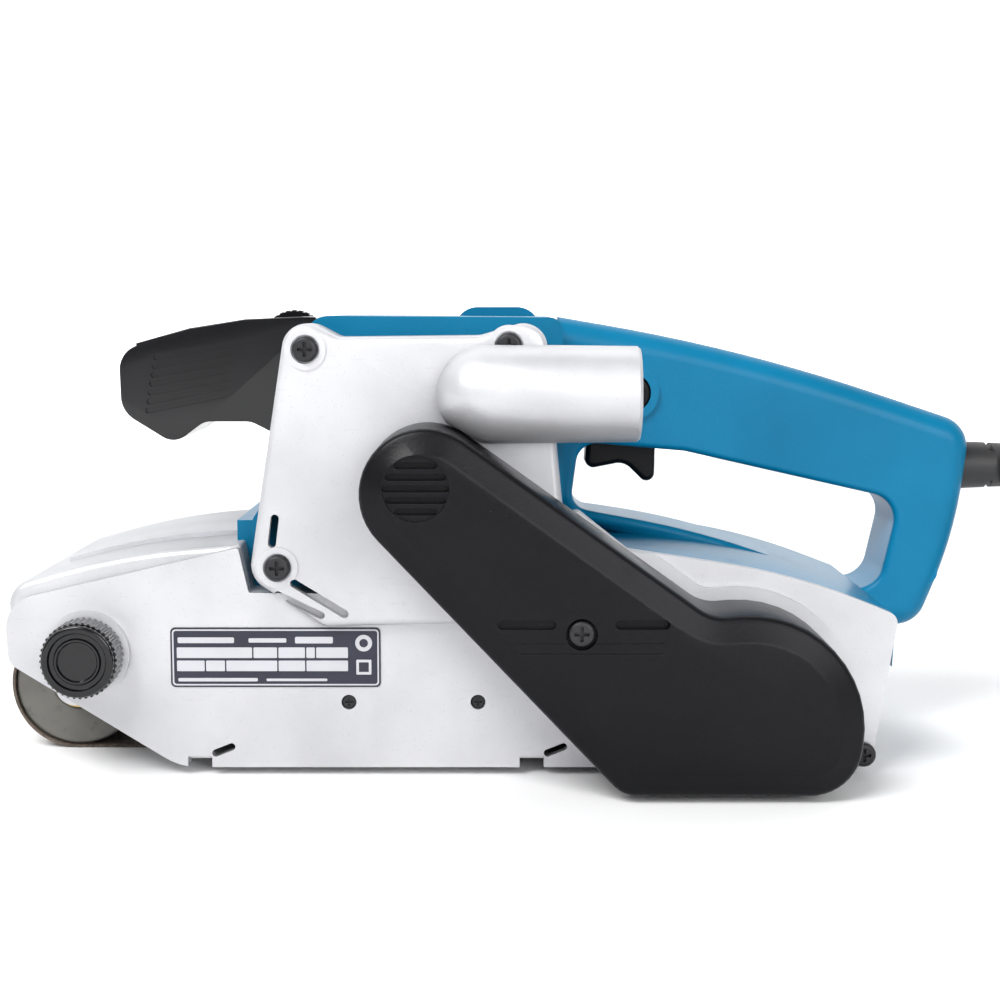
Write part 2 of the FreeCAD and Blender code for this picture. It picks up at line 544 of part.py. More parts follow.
def fan():
    hub = tube(MOTOR_X, MOTOR_Z, 9.0, 4.02, -69.5, -61.5)
    disc = tube(MOTOR_X, MOTOR_Z, 24.5, 8.0, -69.5, -68.0)
    blades = []
    for k in range(14):
        blade = block(MOTOR_X + 8, MOTOR_X + 24, -68.2, -62.0, MOTOR_Z - 0.7, MOTOR_Z + 0.7)
        blade.rotate(V(MOTOR_X + 8, 0, MOTOR_Z), V(0, 1, 0), 18)
        blade.rotate(V(MOTOR_X, 0, MOTOR_Z), V(0, 1, 0), 360 * k / 14)
        blades.append(blade)
    wheel = fuse([hub, disc] + blades)
    return wheel.common(rod(MOTOR_X, MOTOR_Z, 24.5, -75, -55))


def ball_bearing(x, z, r_out, r_in, y0, y1):
    """Sealed bearing: two rings and a shield, one closed piece."""
    ring = tube(x, z, r_out, r_in, y0, y1)
    step = (r_out - r_in) * 0.28
    for a, b in ((y0 - 1, y0 + 0.4), (y1 - 0.4, y1 + 1)):
        ring = ring.cut(tube(x, z, r_out - step, r_in + step, a, b))
    return ring


def motor_bearings():
    return [ball_bearing(MOTOR_X, MOTOR_Z, 10.95, 4.02, -83.0, -74.5),
            ball_bearing(MOTOR_X, MOTOR_Z, 9.45, 4.02, 34.5, 41.5)]


def along_x(side, r, x0, x1):
    start = V(MOTOR_X + side * x0, BRUSH_Y, MOTOR_Z)
    return Part.makeCylinder(r, x1 - x0, start, V(side, 0, 0))


def brush_holders():
    return [along_x(s, 6.1, 16.5, 34.0).cut(along_x(s, 4.6, 15, 35)) for s in (-1, 1)]


def carbon_brushes():
    return [along_x(s, 4.5, 12.3, 26.0) for s in (-1, 1)]


def brush_caps():
    return [along_x(s, 6.1, 34.2, 38.5).cut(block(-80, 100, BRUSH_Y - 0.8, BRUSH_Y + 0.8,
            MOTOR_Z - 4.4, MOTOR_Z + 4.4).common(along_x(s, 9, 37.2, 45))) for s in (-1, 1)]


# ---------------------------------------------------------------- poly-V drive
def ribbed_pulley(x, z, r):
    """Pulley with rounded grooves that leave a small gap to the belt's ribs."""
    y_mid = (PULLEY_Y0 + PULLEY_Y1) / 2
    wheel = tube(x, z, r, 4.02, PULLEY_Y0, PULLEY_Y1)
    grooves = []
    for k in range(RIBS):
        y = y_mid + (k - (RIBS - 1) / 2) * RIB_PITCH
        low, high = r - RIB_DEEP - 0.2, r + 0.5
        wide, thin = RIB_PITCH * 0.47, RIB_PITCH * 0.22
        pts = [V(x + low, y - thin, z), V(x + high, y - wide, z), V(x + high, y + wide, z),
               V(x + low, y + thin, z), V(x + low, y - thin, z)]
        profile = Part.Face(Part.makePolygon(pts))
        grooves.append(profile.revolve(V(x, 0, z), V(0, 1, 0), 360))
    return wheel.cut(fuse(grooves))


def poly_v_belt():
    stops = [(COUNTER_X, COUNTER_Z, BIG_PULLEY_R + 0.25, 1),
             (MOTOR_X, MOTOR_Z, SMALL_PULLEY_R + 0.25, 1)]
    y_mid = (PULLEY_Y0 + PULLEY_Y1) / 2
    back = face(stops).makeOffset2D(1.6).cut(face(stops))
    belt = extrude(back, y_mid - 5.9, y_mid + 5.9)
    ribs = [belt]
    for k in range(RIBS):
        y = y_mid + (k - (RIBS - 1) / 2) * RIB_PITCH
        rib = face(stops).makeOffset2D(0.2).cut(inset(face(stops), 1.1))
        ribs.append(extrude(rib, y - 0.42, y + 0.42))
    return fuse(ribs)


def counter_shaft():
    return rod(COUNTER_X, COUNTER_Z, 4.0, -107.0, -48.3)


def gear(x, z, teeth, bore, y0, y1, turned):
    """Spur gear with involute flanks, thinned for backlash and tip clearance."""
    pitch = GEAR_MODULE * teeth / 2
    base = pitch * math.cos(math.radians(20))
    tip = pitch + GEAR_MODULE * 0.9
    root = pitch - GEAR_MODULE * 1.25
    half = math.pi / (2 * teeth) - 0.09 / pitch
    flat = math.tan(math.radians(20)) - math.radians(20)
    wires = []
    for k in range(teeth):
        mid = turned + 2 * math.pi * k / teeth
        side = []
        for step in range(6):
            r = max(base, root) + (tip - max(base, root)) * step / 5
            roll = math.acos(min(1.0, base / r))
            side.append((r, half + flat - (math.tan(roll) - roll)))
        rows = [(root - 0.3, side[0][1])] + side
        pts = [(r, mid - a) for r, a in rows] + [(r, mid + a) for r, a in reversed(rows)]
        corners = [V(x + r * math.cos(a), y0, z + r * math.sin(a)) for r, a in pts]
        wires.append(Part.Face(Part.makePolygon(corners + [corners[0]])))
    blanks = [w.extrude(V(0, y1 - y0, 0)) for w in wires]
    wheel = rod(x, z, root, y0, y1).multiFuse(blanks)
    return wheel.cut(rod(x, z, bore, y0 - 1, y1 + 1)).removeSplitter()


def drive_pinion():
    mesh = COUNTER_ANGLE + math.pi
    return gear(COUNTER_X, COUNTER_Z, PINION_TEETH, 4.02, GEAR_Y0 - 1, GEAR_Y1 + 1, mesh)


def final_gear():
    mesh = COUNTER_ANGLE + math.pi / WHEEL_TEETH
    wheel = gear(REAR_X, AXLE_Z, WHEEL_TEETH, 6.02, GEAR_Y0, GEAR_Y1, mesh)
    return wheel.cut(tube(REAR_X, AXLE_Z, 12.5, 9.0, GEAR_Y0 - 1, GEAR_Y0 + 2.5))


def counter_bearings():
    return [ball_bearing(COUNTER_X, COUNTER_Z, 10.95, 4.02, -79.5, -73.0),
            ball_bearing(COUNTER_X, COUNTER_Z, 7.95, 4.02, -54.5, -49.2)]


def roller_bearings():
    return [ball_bearing(REAR_X, AXLE_Z, 9.45, 4.52, -74.3, -69.0),
            ball_bearing(REAR_X, AXLE_Z, 12.95, 6.02, -54.5, -46.5)]


# ---------------------------------------------------------------- rollers, sole and belt
def rear_shaft():
    return fuse([rod(REAR_X, AXLE_Z, 4.5, -74.0, -68.0), rod(REAR_X, AXLE_Z, 6.0, -68.0, 30.0)])


def rear_roller():
    drum = tube(REAR_X, AXLE_Z, 20.0, 6.02, -37.5, 37.5)
    return drum.cut(tube(REAR_X, AXLE_Z, 17.0, 10.0, 10.0, 38.0))


def rear_roller_rubber():
    return tube(REAR_X, AXLE_Z, ROLLER_R, 20.02, -37.5, 37.5)


def front_roller():
    drum = tube(FRONT_X, AXLE_Z, ROLLER_R, 9.0, -37.0, 37.0)
    drum = soften(drum, 1.2, on_plane(-37.0))
    return drum


def front_bearings():
    return [tube(FRONT_X, AXLE_Z, 8.98, 4.06, -37.0, -29.0),
            tube(FRONT_X, AXLE_Z, 8.98, 4.06, 29.0, 37.0)]


def tension_fork():
    slide = block(-92, -64, -60.0, -42.4, 18.0, 30.0)
    arm = slot(FRONT_X, AXLE_Z, -80, AXLE_Z, 12.0, -45.8, -42.4)
    axle = rod(FRONT_X, AXLE_Z, 4.0, -45, 36.5)
    collar = rod(FRONT_X, AXLE_Z, 7.0, -43, -37.6)
    riser = block(-70, -66, -57.0, -51.0, 29.0, 39.0)
    tail = block(-70, -23, -57.0, -51.0, 36.0, 39.0)
    hook = block(-26.2, -23, -57.0, -51.0, 28.5, 39.0)
    return fuse([slide, arm, axle, collar, riser, tail, hook])


def tension_lever():
    shaft = rod(LEVER_X, LEVER_Z, 2.98, -57.0, 32.0)
    finger = slot(LEVER_X, LEVER_Z, LEVER_X, LEVER_Z + 8.8, 6.4, -57.0, -51.0)
    tip_x = LEVER_X - LEVER_LONG
    lever = slot(LEVER_X, LEVER_Z, tip_x, LEVER_Z, 10.0, 29.4, 33.0)
    grip = block(tip_x - 5, tip_x + 3, 32.0, 44.0, LEVER_Z - 4, LEVER_Z + 4)
    grip = soften(grip, 1.5, lambda e: True)
    return fuse([shaft, finger, lever, grip])


def coil_spring(start, direction, length, r, wire_r, turns):
    helix = Part.makeHelix(length / turns, length, r)
    ring = Part.Wire(Part.makeCircle(wire_r, V(r, 0, 0), V(0, 1, 0)))
    spring = Part.Wire(helix).makePipeShell([ring], True, True)
    spring.rotate(V(0, 0, 0), V(0, 0, 1).cross(direction) if direction != V(0, 0, 1)
                  else V(0, 0, 1), 90 if direction != V(0, 0, 1) else 0)
    spring.translate(start)
    return spring


def shoe_plate():
    plate = block(-84, 88, -36.5, 36.5, 1.2, 2.4)
    return plate


def shoe_pad():
    pad = block(-84, 88, -36.5, 36.5, 2.4, 6.2)
    for x, y in SHOE_SCREWS:
        pad = pad.cut(Part.makeCylinder(1.8, 10, V(x, y, 0)))
    return pad


def abrasive_belt():
    outer = face([(FRONT_X, AXLE_Z, AXLE_Z, 1), (REAR_X, AXLE_Z, AXLE_Z, 1)])
    inner = face([(FRONT_X, AXLE_Z, BELT_IN_R, 1), (REAR_X, AXLE_Z, BELT_IN_R, 1)])
    return extrude(outer.cut(inner), BELT_L, BELT_R)


# ---------------------------------------------------------------- controls
def trigger():
    flat = face([(75.0, 104.0, 3.2, 1), (84.5, 96.0, 6.5, -1), (95.2, 98.8, 3.0, 1),
                 (96.5, 112.0, 2.0, 1), (74.5, 112.0, 2.0, 1)])
    lever = soften(extrude(flat, -8.0, 8.0), 2.0, lambda e: on_plane(-8.0)(e) or on_plane(8.0)(e))
    return lever.cut(Part.makeCylinder(4.0, 6, V(85.0, 0, 110.3)))


def switch_box():
    box = block(79.0, 107.0, -4.5, 8.0, 122.5, 134.0)
    return soften(box, 1.0, lambda e: e.BoundBox.YLength > 3)


def lock_button():
    cap = soften(rod(LOCK_X, LOCK_Z, 6.8, -20.0, -15.5), 1.4, on_plane(-20.0))
    return cap.fuse(rod(LOCK_X, LOCK_Z, 3.0, -15.5, -8.2))


def speed_dial():
    wheel = rod(DIAL_X, DIAL_Z, DIAL_R, -3.0, 3.0)
    wheel = soften(wheel, 0.6, lambda e: on_plane(-3.0)(e) or on_plane(3.0)(e))
    nicks = []
    for k in range(30):
        a = 2 * math.pi * k / 30
        nicks.append(rod(DIAL_X + DIAL_R * math.cos(a), DIAL_Z + DIAL_R * math.sin(a), 0.5, -4, 4))
    return wheel.cut(fuse(nicks)).fuse(rod(DIAL_X, DIAL_Z, 1.8, 3.0, 10.0))


def speed_control():
    box = block(-46.0, -35.0, 5.0, 15.0, 139.0, 151.0).cut(rod(DIAL_X, DIAL_Z, 1.9, 4, 16))
    return box


# ---------------------------------------------------------------- cord
def cord_guard():
    body = Part.makeCone(GUARD_R - 0.1, 6.4, GUARD_X1 - GUARD_X0, V(GUARD_X0, 0, CORD_Z), V(1, 0, 0))
    cuts = []
    for k in range(7):
        x = GUARD_X0 + 14 + 7 * k
        for turn in (0, 90):
            cut = block(x + turn / 30, x + turn / 30 + 2.2, -12, 12, CORD_Z + 5.6, CORD_Z + 14)
            cut = cut.fuse(cut.mirror(V(0, 0, CORD_Z), V(0, 0, 1)))
            cut.rotate(V(0, 0, CORD_Z), V(1, 0, 0), turn)
            cuts.append(cut)
    body = body.cut(Part.makeCompound(cuts))
    return body.cut(Part.makeCylinder(CORD_D / 2 + 0.02, 40, V(259.9, 0, CORD_Z), V(1, 0, 0)))


COIL_X, COIL_Y, COIL_R = 404.0, 4.0, 59.0
COIL_WIDE, COIL_HIGH = 34.0, 30.0
LEAD = [V(260.0, 0.0, CORD_Z), V(306.0, 0.0, CORD_Z), V(340.0, 6.0, 70.0),
        V(357.0, 36.0, 34.5), V(397.5, 62.7, 25.4)]
TAIL = [V(410.0, -66.9, 4.4), V(388.0, -68.0, 5.5), V(366.0, -69.0, 12.5),
        V(346.0, -69.5, 13.6)]


def cord_tube(corners):
    """Round cord along straight runs joined by tangent arcs."""
    edges = []
    at = corners[0]
    for i in range(1, len(corners) - 1):
        before, here, after = corners[i - 1], corners[i], corners[i + 1]
        u = (before - here).normalize()
        v = (after - here).normalize()
        turn = math.pi - u.getAngle(v)
        trim = 0.45 * min((before - here).Length, (after - here).Length)
        radius = trim / math.tan(turn / 2)
        print("cord bend radius", round(radius, 1))
        start, end = here + u * trim, here + v * trim
        middle = here + (u + v).normalize() * (radius / math.cos(turn / 2) - radius)
        edges.append(Part.LineSegment(at, start).toShape())
        edges.append(Part.Arc(start, middle, end).toShape())
        at = end
    edges.append(Part.LineSegment(at, corners[-1]).toShape())
    spine = Part.Wire(edges)
    first = (corners[1] - corners[0]).normalize()
    ring = Part.Wire(Part.makeCircle(CORD_D / 2, corners[0], first))
    tube_shape = spine.makePipeShell([ring], True, False)
    ratio = tube_shape.Volume / (math.pi * (CORD_D / 2) ** 2 * spine.Length)
    print("cord length", round(spine.Length), "volume ratio", round(ratio, 3))
    return tube_shape


def cord_coil():
    section = block(COIL_R - COIL_WIDE / 2, COIL_R + COIL_WIDE / 2, -0.01, 0.01, 0.2, COIL_HIGH)
    ring = Part.makeCylinder(COIL_R + COIL_WIDE / 2, COIL_HIGH - 0.2, V(COIL_X, COIL_Y, 0.2))
    ring = ring.cut(Part.makeCylinder(COIL_R - COIL_WIDE / 2, COIL_HIGH + 2, V(COIL_X, COIL_Y, -1)))
    return soften(ring, 7.0, lambda e: e.BoundBox.ZLength < 0.1)


PLUG_X, PLUG_Y, PLUG_Z = 350.0, -69.5, 13.6


def plug_body():
    body = block(PLUG_X - 32, PLUG_X - 6, PLUG_Y - 16, PLUG_Y + 16, 0.4, 26.8)
    body = soften(body, 9.0, lambda e: e.BoundBox.XLength > 20)
    neck = Part.makeCone(9.5, 6.0, 22, V(PLUG_X - 8, PLUG_Y, PLUG_Z), V(1, 0, 0))
    return body.fuse(neck)


def plug_pins():
    pins = []
    for side in (-1, 1):
        pin = Part.makeCylinder(2.4, 19.0, V(PLUG_X - 51, PLUG_Y + side * 9.5, PLUG_Z), V(1, 0, 0))
        pins.append(soften(pin, 1.2, lambda e: abs(e.BoundBox.XMax - (PLUG_X - 51)) < 0.1))
    return pins


# ---------------------------------------------------------------- every piece, saved by name
def pieces(shapes):
    return Part.makeCompound(shapes)


save("main_frame", main_frame())
save("side_plate", side_plate())
save("fan_cover", fan_cover())
save("belt_cover", belt_cover())
save("motor_housing", motor_housing())
save("front_grip", front_grip())
save("handle_left", handle_half(-1))
save("handle_right", handle_half(1))
save("fan_cover_screws", pieces(fan_cover_screws()))
save("belt_cover_screw", pan_screw(*COVER_SCREW, COVER_Y + 3.4, 4.4, 3.0, 1.75, 38.0))
save("rear_screw", pan_screw(*REAR_SCREW, WALL_Y, 4.2, 2.8, 1.9, 3.8))
save("handle_screws", pieces(handle_screws()))
save("side_plate_screws", pieces(plate_screws()))
save("shoe_screws", pieces(shoe_screws()))
save("nameplate", nameplate())
save("tracking_knob", tracking_knob())
save("stator", stator())
save("field_coils", pieces(field_coils()))
save("armature", armature())
save("commutator", commutator())
save("fan", fan())
save("motor_bearings", pieces(motor_bearings()))
save("brush_holders", pieces(brush_holders()))
save("carbon_brushes", pieces(carbon_brushes()))
save("brush_caps", pieces(brush_caps()))
save("small_pulley", ribbed_pulley(MOTOR_X, MOTOR_Z, SMALL_PULLEY_R))
save("large_pulley", ribbed_pulley(COUNTER_X, COUNTER_Z, BIG_PULLEY_R))
save("poly_v_belt", poly_v_belt())
save("counter_shaft", counter_shaft())
save("drive_pinion", drive_pinion())
save("final_gear", final_gear())
save("counter_bearings", pieces(counter_bearings()))
save("roller_bearings", pieces(roller_bearings()))
save("rear_shaft", rear_shaft())
save("rear_roller", rear_roller())
save("rear_roller_rubber", rear_roller_rubber())
save("front_roller", front_roller())
save("front_bearings", pieces(front_bearings()))
save("tension_fork", tension_fork())
save("tension_lever", tension_lever())
save("tension_spring", coil_spring(V(-63.2, -53.5, 22.5), V(1, 0, 0), 16.0, 3.6, 0.6, 6))
save("shoe_plate", shoe_plate())
save("shoe_pad", shoe_pad())
save("abrasive_belt", abrasive_belt())
save("trigger", trigger())
save("trigger_spring", coil_spring(V(85.0, 0.0, 111.0), V(0, 0, 1), 10.8, 2.9, 0.5, 6))
save("switch_box", switch_box())
save("lock_button", lock_button())
save("speed_dial", speed_dial())
save("speed_control", speed_control())
save("cord_guard", cord_guard())
save("cord_lead", cord_tube(LEAD))
save("cord_coil", cord_coil())
save("cord_tail", cord_tube(TAIL))
save("plug_body", plug_body())
save("plug_pins", pieces(plug_pins()))
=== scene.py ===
# %% [markdown]
# # A handheld belt sander
# The machine was drawn in CAD first: every casting, shaft and screw is already in place, in metres.
# This lesson loads those parts, gives each one its real finish, and models again, by hand, the
# pieces whose look depends on soft or fine shapes: grip, covers, knob, name plate and cord.

# %% Load the frame
import bpy
import math
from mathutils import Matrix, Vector


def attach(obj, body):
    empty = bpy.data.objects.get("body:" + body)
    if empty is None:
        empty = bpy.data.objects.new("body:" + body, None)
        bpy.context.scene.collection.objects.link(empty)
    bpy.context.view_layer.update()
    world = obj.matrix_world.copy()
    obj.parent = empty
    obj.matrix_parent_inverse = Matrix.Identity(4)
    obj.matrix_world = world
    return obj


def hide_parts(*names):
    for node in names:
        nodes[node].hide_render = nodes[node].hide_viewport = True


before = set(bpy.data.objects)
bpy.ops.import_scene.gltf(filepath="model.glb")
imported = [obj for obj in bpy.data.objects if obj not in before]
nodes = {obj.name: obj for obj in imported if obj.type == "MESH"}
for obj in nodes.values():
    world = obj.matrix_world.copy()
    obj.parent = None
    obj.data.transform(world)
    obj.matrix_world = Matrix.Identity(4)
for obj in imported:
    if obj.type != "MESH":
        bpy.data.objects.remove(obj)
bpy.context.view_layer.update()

# %% [markdown]
# ## Camera
# The sander is seen from its drive side, a little from above, with a lens of about 63 mm. The
# camera comes first, because the cord has to be put away where this view doesn't reach.

# %% Camera
camera_data = bpy.data.cameras.new("camera")
camera_data.lens = 62.6
camera_data.sensor_width = 36.0
camera = bpy.data.objects.new("camera", camera_data)
camera.location = (0.0395, -0.6655, 0.1618)
camera.rotation_euler = (math.radians(90.0 - 6.36), 0.0, 0.0)
bpy.context.scene.collection.objects.link(camera)
bpy.context.scene.camera = camera
print("camera looks along +Y, tipped down 6.36 degrees")

# %% [markdown]
# ## Studio
# The machine stands on a matt white sheet in front of a lit white wall, so that every edge is free
# of its background and only a thin contact shadow is left. One big lamp high on the left models
# the shapes, a wide one fills in front, and a low-powered one behind draws the long highlights on
# the top of the handle and the spout.


# %% Floor, wall and lamps
def tidy_selection():
    """Leaves edit mode and deselects everything, because operators act on all that is selected."""
    if bpy.context.object and bpy.context.object.mode != "OBJECT":
        bpy.ops.object.mode_set(mode="OBJECT")
    bpy.ops.object.select_all(action="DESELECT")


def white_sheet(name, size, place, tilt, glow):
    tidy_selection()
    bpy.ops.mesh.primitive_plane_add(size=size, location=place,
                                     rotation=(math.radians(tilt), 0.0, 0.0))
    sheet = bpy.context.object
    sheet.name = name
    paint = bpy.data.materials.new(name + "_paint")
    paint.use_nodes = True
    shader = paint.node_tree.nodes["Principled BSDF"]
    shader.inputs["Base Color"].default_value = (0.90, 0.90, 0.90, 1.0)
    shader.inputs["Roughness"].default_value = 0.9
    shader.inputs["Specular IOR Level"].default_value = 0.1
    shader.inputs["Emission Color"].default_value = (1.0, 1.0, 1.0, 1.0)
    shader.inputs["Emission Strength"].default_value = glow
    sheet.data.materials.append(paint)


white_sheet("near_floor", 3.0, (0.0, -0.3, 0.0), 0.0, 0.0)
white_sheet("far_floor", 16.0, (0.0, 0.0, -0.002), 0.0, 0.55)
white_sheet("back_wall", 16.0, (0.0, 1.9, 0.0), 90.0, 0.62)


def soft_lamp(name, place, target, width, height, power):
    lamp_data = bpy.data.lights.new(name, "AREA")
    lamp_data.shape = "RECTANGLE"
    lamp_data.size, lamp_data.size_y = width, height
    lamp_data.energy = power
    lamp = bpy.data.objects.new(name, lamp_data)
    lamp.location = place
    lamp.rotation_euler = (Vector(target) - Vector(place)).to_track_quat("-Z", "Y").to_euler()
    bpy.context.scene.collection.objects.link(lamp)


MIDDLE = (0.04, 0.0, 0.07)
soft_lamp("key_lamp", (-0.90, -1.30, 1.70), MIDDLE, 1.2, 1.0, 50.0)
soft_lamp("front_lamp", (1.00, -2.00, 0.80), MIDDLE, 1.6, 0.9, 26.0)
soft_lamp("rear_lamp", (0.10, 0.60, 1.60), (0.1, 0.2, 0.0), 1.6, 0.5, 3.0)
world = bpy.data.worlds.new("studio")
bpy.context.scene.world = world
world.use_nodes = True
world.node_tree.nodes["Background"].inputs["Color"].default_value = (0.96, 0.98, 1.0, 1.0)
world.node_tree.nodes["Background"].inputs["Strength"].default_value = 0.36
bpy.context.scene.view_settings.view_transform = "Standard"
print("studio has 3 lamps, a floor, a wall and a pale sky")

# %% [markdown]
# ## Writing shaders as sums
# A finish is a recipe of noises, masks and mixes. One small class wraps a socket, so that
# `mask * 0.5 + 0.2` adds the Math nodes by itself, and one function adds any other node.


# %% Shader helper
class Value:
    """An output socket that can be added, subtracted and multiplied."""

    def __init__(self, tree, socket):
        self.tree, self.socket = tree, socket

    def _math(self, operation, first, second):
        node = self.tree.nodes.new("ShaderNodeMath")
        node.operation = operation
        for slot_index, item in enumerate((first, second)):
            if isinstance(item, Value):
                self.tree.links.new(item.socket, node.inputs[slot_index])
            else:
                node.inputs[slot_index].default_value = item
        return Value(self.tree, node.outputs[0])

    def __add__(self, other): return self._math("ADD", self, other)
    def __radd__(self, other): return self._math("ADD", other, self)
    def __sub__(self, other): return self._math("SUBTRACT", self, other)
    def __rsub__(self, other): return self._math("SUBTRACT", other, self)
    def __mul__(self, other): return self._math("MULTIPLY", self, other)
    def __rmul__(self, other): return self._math("MULTIPLY", other, self)

    def between(self, start, end):
        """0 below start, 1 above end, smooth in the middle."""
        node = self.tree.nodes.new("ShaderNodeMapRange")
        node.interpolation_type = "SMOOTHSTEP"
        node.inputs["From Min"].default_value = start
        node.inputs["From Max"].default_value = end
        self.tree.links.new(self.socket, node.inputs["Value"])
        return Value(self.tree, node.outputs["Result"])


class Finish:
    """A material, its shader, and a method that adds any node."""

    def __init__(self, name):
        self.material = bpy.data.materials.new(name)
        self.material.use_nodes = True
        self.tree = self.material.node_tree
        self.shader = self.tree.nodes["Principled BSDF"]
        where = self.tree.nodes.new("ShaderNodeTexCoord")
        self.place = Value(self.tree, where.outputs["Object"])

    def add(self, kind, settings=None, output=0, **inputs):
        node = self.tree.nodes.new(kind)
        for key, item in (settings or {}).items():
            setattr(node, key, item)
        for key, item in inputs.items():
            socket = node.inputs[key.replace("_", " ")]
            if isinstance(item, Value):
                self.tree.links.new(item.socket, socket)
            else:
                socket.default_value = item
        return Value(self.tree, node.outputs[output])

    def noise(self, scale, detail=3.0, roughness=0.55, stretch=None):
        place = self.place
        if stretch:
            place = self.add("ShaderNodeMapping", Vector=place, Scale=stretch)
        return self.add("ShaderNodeTexNoise", Vector=place, Scale=scale, Detail=detail,
                        Roughness=roughness)

    def cells(self, scale, output="Distance", settings=None, **inputs):
        return self.add("ShaderNodeTexVoronoi", settings, output, Vector=self.place,
                        Scale=scale, **inputs)

    def blend(self, mask, first, second):
        node = self.tree.nodes.new("ShaderNodeMix")
        node.data_type = "RGBA"
        for socket, item in ((node.inputs[0], mask), (node.inputs[6], first),
                             (node.inputs[7], second)):
            if isinstance(item, Value):
                self.tree.links.new(item.socket, socket)
            elif isinstance(item, tuple):
                socket.default_value = item + (1.0,) if len(item) == 3 else item
            else:
                socket.default_value = item
        return Value(self.tree, node.outputs[2])

    def edges(self, reach, samples=6):
        """About 1 on corners and rims, from the angle between the true and the rounded normal."""
        bevel = self.add("ShaderNodeBevel", {"samples": samples}, "Normal", Radius=reach)
        flat = self.tree.nodes.new("ShaderNodeNewGeometry")
        dot = self.tree.nodes.new("ShaderNodeVectorMath")
        dot.operation = "DOT_PRODUCT"
        self.tree.links.new(bevel.socket, dot.inputs[0])
        self.tree.links.new(flat.outputs["Normal"], dot.inputs[1])
        return 1.0 - Value(self.tree, dot.outputs["Value"])

    def bump(self, height, distance, strength=1.0):
        node = self.tree.nodes.new("ShaderNodeBump")
        node.inputs["Distance"].default_value = distance
        node.inputs["Strength"].default_value = strength
        self.tree.links.new(height.socket, node.inputs["Height"])
        self.tree.links.new(node.outputs["Normal"], self.shader.inputs["Normal"])

    def set(self, **inputs):
        for key, item in inputs.items():
            socket = self.shader.inputs[key.replace("_", " ")]
            if isinstance(item, Value):
                self.tree.links.new(item.socket, socket)
            elif isinstance(item, tuple) and len(item) == 3:
                socket.default_value = item + (1.0,)
            else:
                socket.default_value = item


print("shader helper ready")

# %% [markdown]
# ## Metals
# The castings are aluminium, tumbled and clear-coated: light grey, satin, with a fine grain and
# faint cloudy patches. Turned and black-oxide steel get rings and dull patches.


# %% Metals
def cast_metal(name, tone, rough, grain=1.0):
    made = Finish(name)
    cloud = made.noise(14.0, 4.0)
    grit = made.noise(1500.0, 2.0, 0.7)
    pores = made.cells(620.0, settings={"feature": "F1"}).between(0.0, 0.16)
    scuff = made.noise(90.0, 5.0, 0.7, stretch=(1.0, 1.0, 9.0)).between(0.60, 0.72)
    bright = tuple(min(1.0, part * 1.10) for part in tone)
    dull = tuple(part * 0.88 for part in tone)
    colour = made.blend(cloud.between(0.30, 0.70), dull, bright)
    # Pores are painted darker than the metal: painted shade in the pits.
    colour = made.blend(pores, tuple(part * 0.70 for part in tone), colour)
    colour = made.blend(scuff * 0.35, colour, tuple(part * 0.80 for part in tone))
    made.set(Base_Color=colour, Metallic=0.50,
             Roughness=cloud * 0.10 + grit * 0.10 + scuff * 0.06 + (rough - 0.10),
             Specular_Tint=(0.45, 0.46, 0.48), Specular_IOR_Level=0.25)
    made.bump(grit * 0.7 + pores * 0.5 + made.noise(260.0, 3.0) * 0.9, 0.00010 * grain, 0.55)
    return made.material


def bare_metal(name, tone, rough, metallic=1.0, scale=220.0):
    made = Finish(name)
    cloud = made.noise(38.0, 4.0)
    lines = made.noise(scale, 3.0, 0.6, stretch=(1.0, 14.0, 1.0))
    spots = made.noise(170.0, 6.0, 0.7).between(0.58, 0.68)
    colour = made.blend(cloud.between(0.35, 0.65), tuple(part * 0.82 for part in tone), tone)
    colour = made.blend(spots * 0.5, colour, tuple(part * 0.60 for part in tone))
    made.set(Base_Color=colour, Metallic=metallic, Roughness=cloud * 0.14 + lines * 0.12 + rough)
    made.bump(lines, 0.00006, 0.5)
    return made.material


aluminium = cast_metal("cast_aluminium", (0.56, 0.56, 0.58), 0.42)
roller_metal = bare_metal("turned_aluminium", (0.17, 0.165, 0.15), 0.46, metallic=0.6)
steel = bare_metal("bright_steel", (0.62, 0.62, 0.64), 0.24)
black_oxide = bare_metal("black_oxide", (0.022, 0.022, 0.025), 0.30, metallic=0.35)
core_steel = bare_metal("laminated_core", (0.26, 0.27, 0.29), 0.42, scale=900.0)
brass = bare_metal("brass", (0.66, 0.48, 0.20), 0.28)
copper = bare_metal("enamelled_copper", (0.56, 0.22, 0.09), 0.30)
print("metals ready")

# %% [markdown]
# ## Plastics and rubber
# Moulded plastic is never one colour: the tool's spark erosion leaves a fine leather of bumps,
# the rims are painted a little lighter, partly as wear and partly as painted sheen, and dust greys
# it in patches.


# %% Plastics
def moulded(name, tone, rough, grain, depth, coat=0.0, rim_wear_and_sheen=(0.10, 0.10, 0.11), haze=0.12,
            gloss=0.3):
    made = Finish(name)
    cloud = made.noise(9.0, 4.0)
    leather = made.cells(grain, settings={"feature": "SMOOTH_F1"}, Smoothness=0.6)
    fine = made.noise(grain * 1.7, 2.0, 0.6)
    dust = made.noise(55.0, 6.0, 0.72).between(0.56, 0.76)
    lighter = tuple(part * 1.16 + 0.002 for part in tone)
    colour = made.blend(cloud.between(0.30, 0.70), tuple(part * 0.90 for part in tone), lighter)
    colour = made.blend(dust * haze, colour, tuple(part + 0.06 for part in tone))
    # The rims get a lighter colour: partly real wear, partly a painted sheen.
    edge = made.edges(0.0008).between(0.02, 0.30)
    colour = made.blend(edge * 0.35, colour, rim_wear_and_sheen)
    made.set(Base_Color=colour, Roughness=cloud * 0.08 + fine * 0.08 + dust * 0.08 + (rough - 0.10))
    made.set(Coat_Weight=coat, Coat_Roughness=0.12, Specular_IOR_Level=gloss)
    made.bump(leather * 0.7 + fine * 0.5, depth, 0.5)
    return made.material


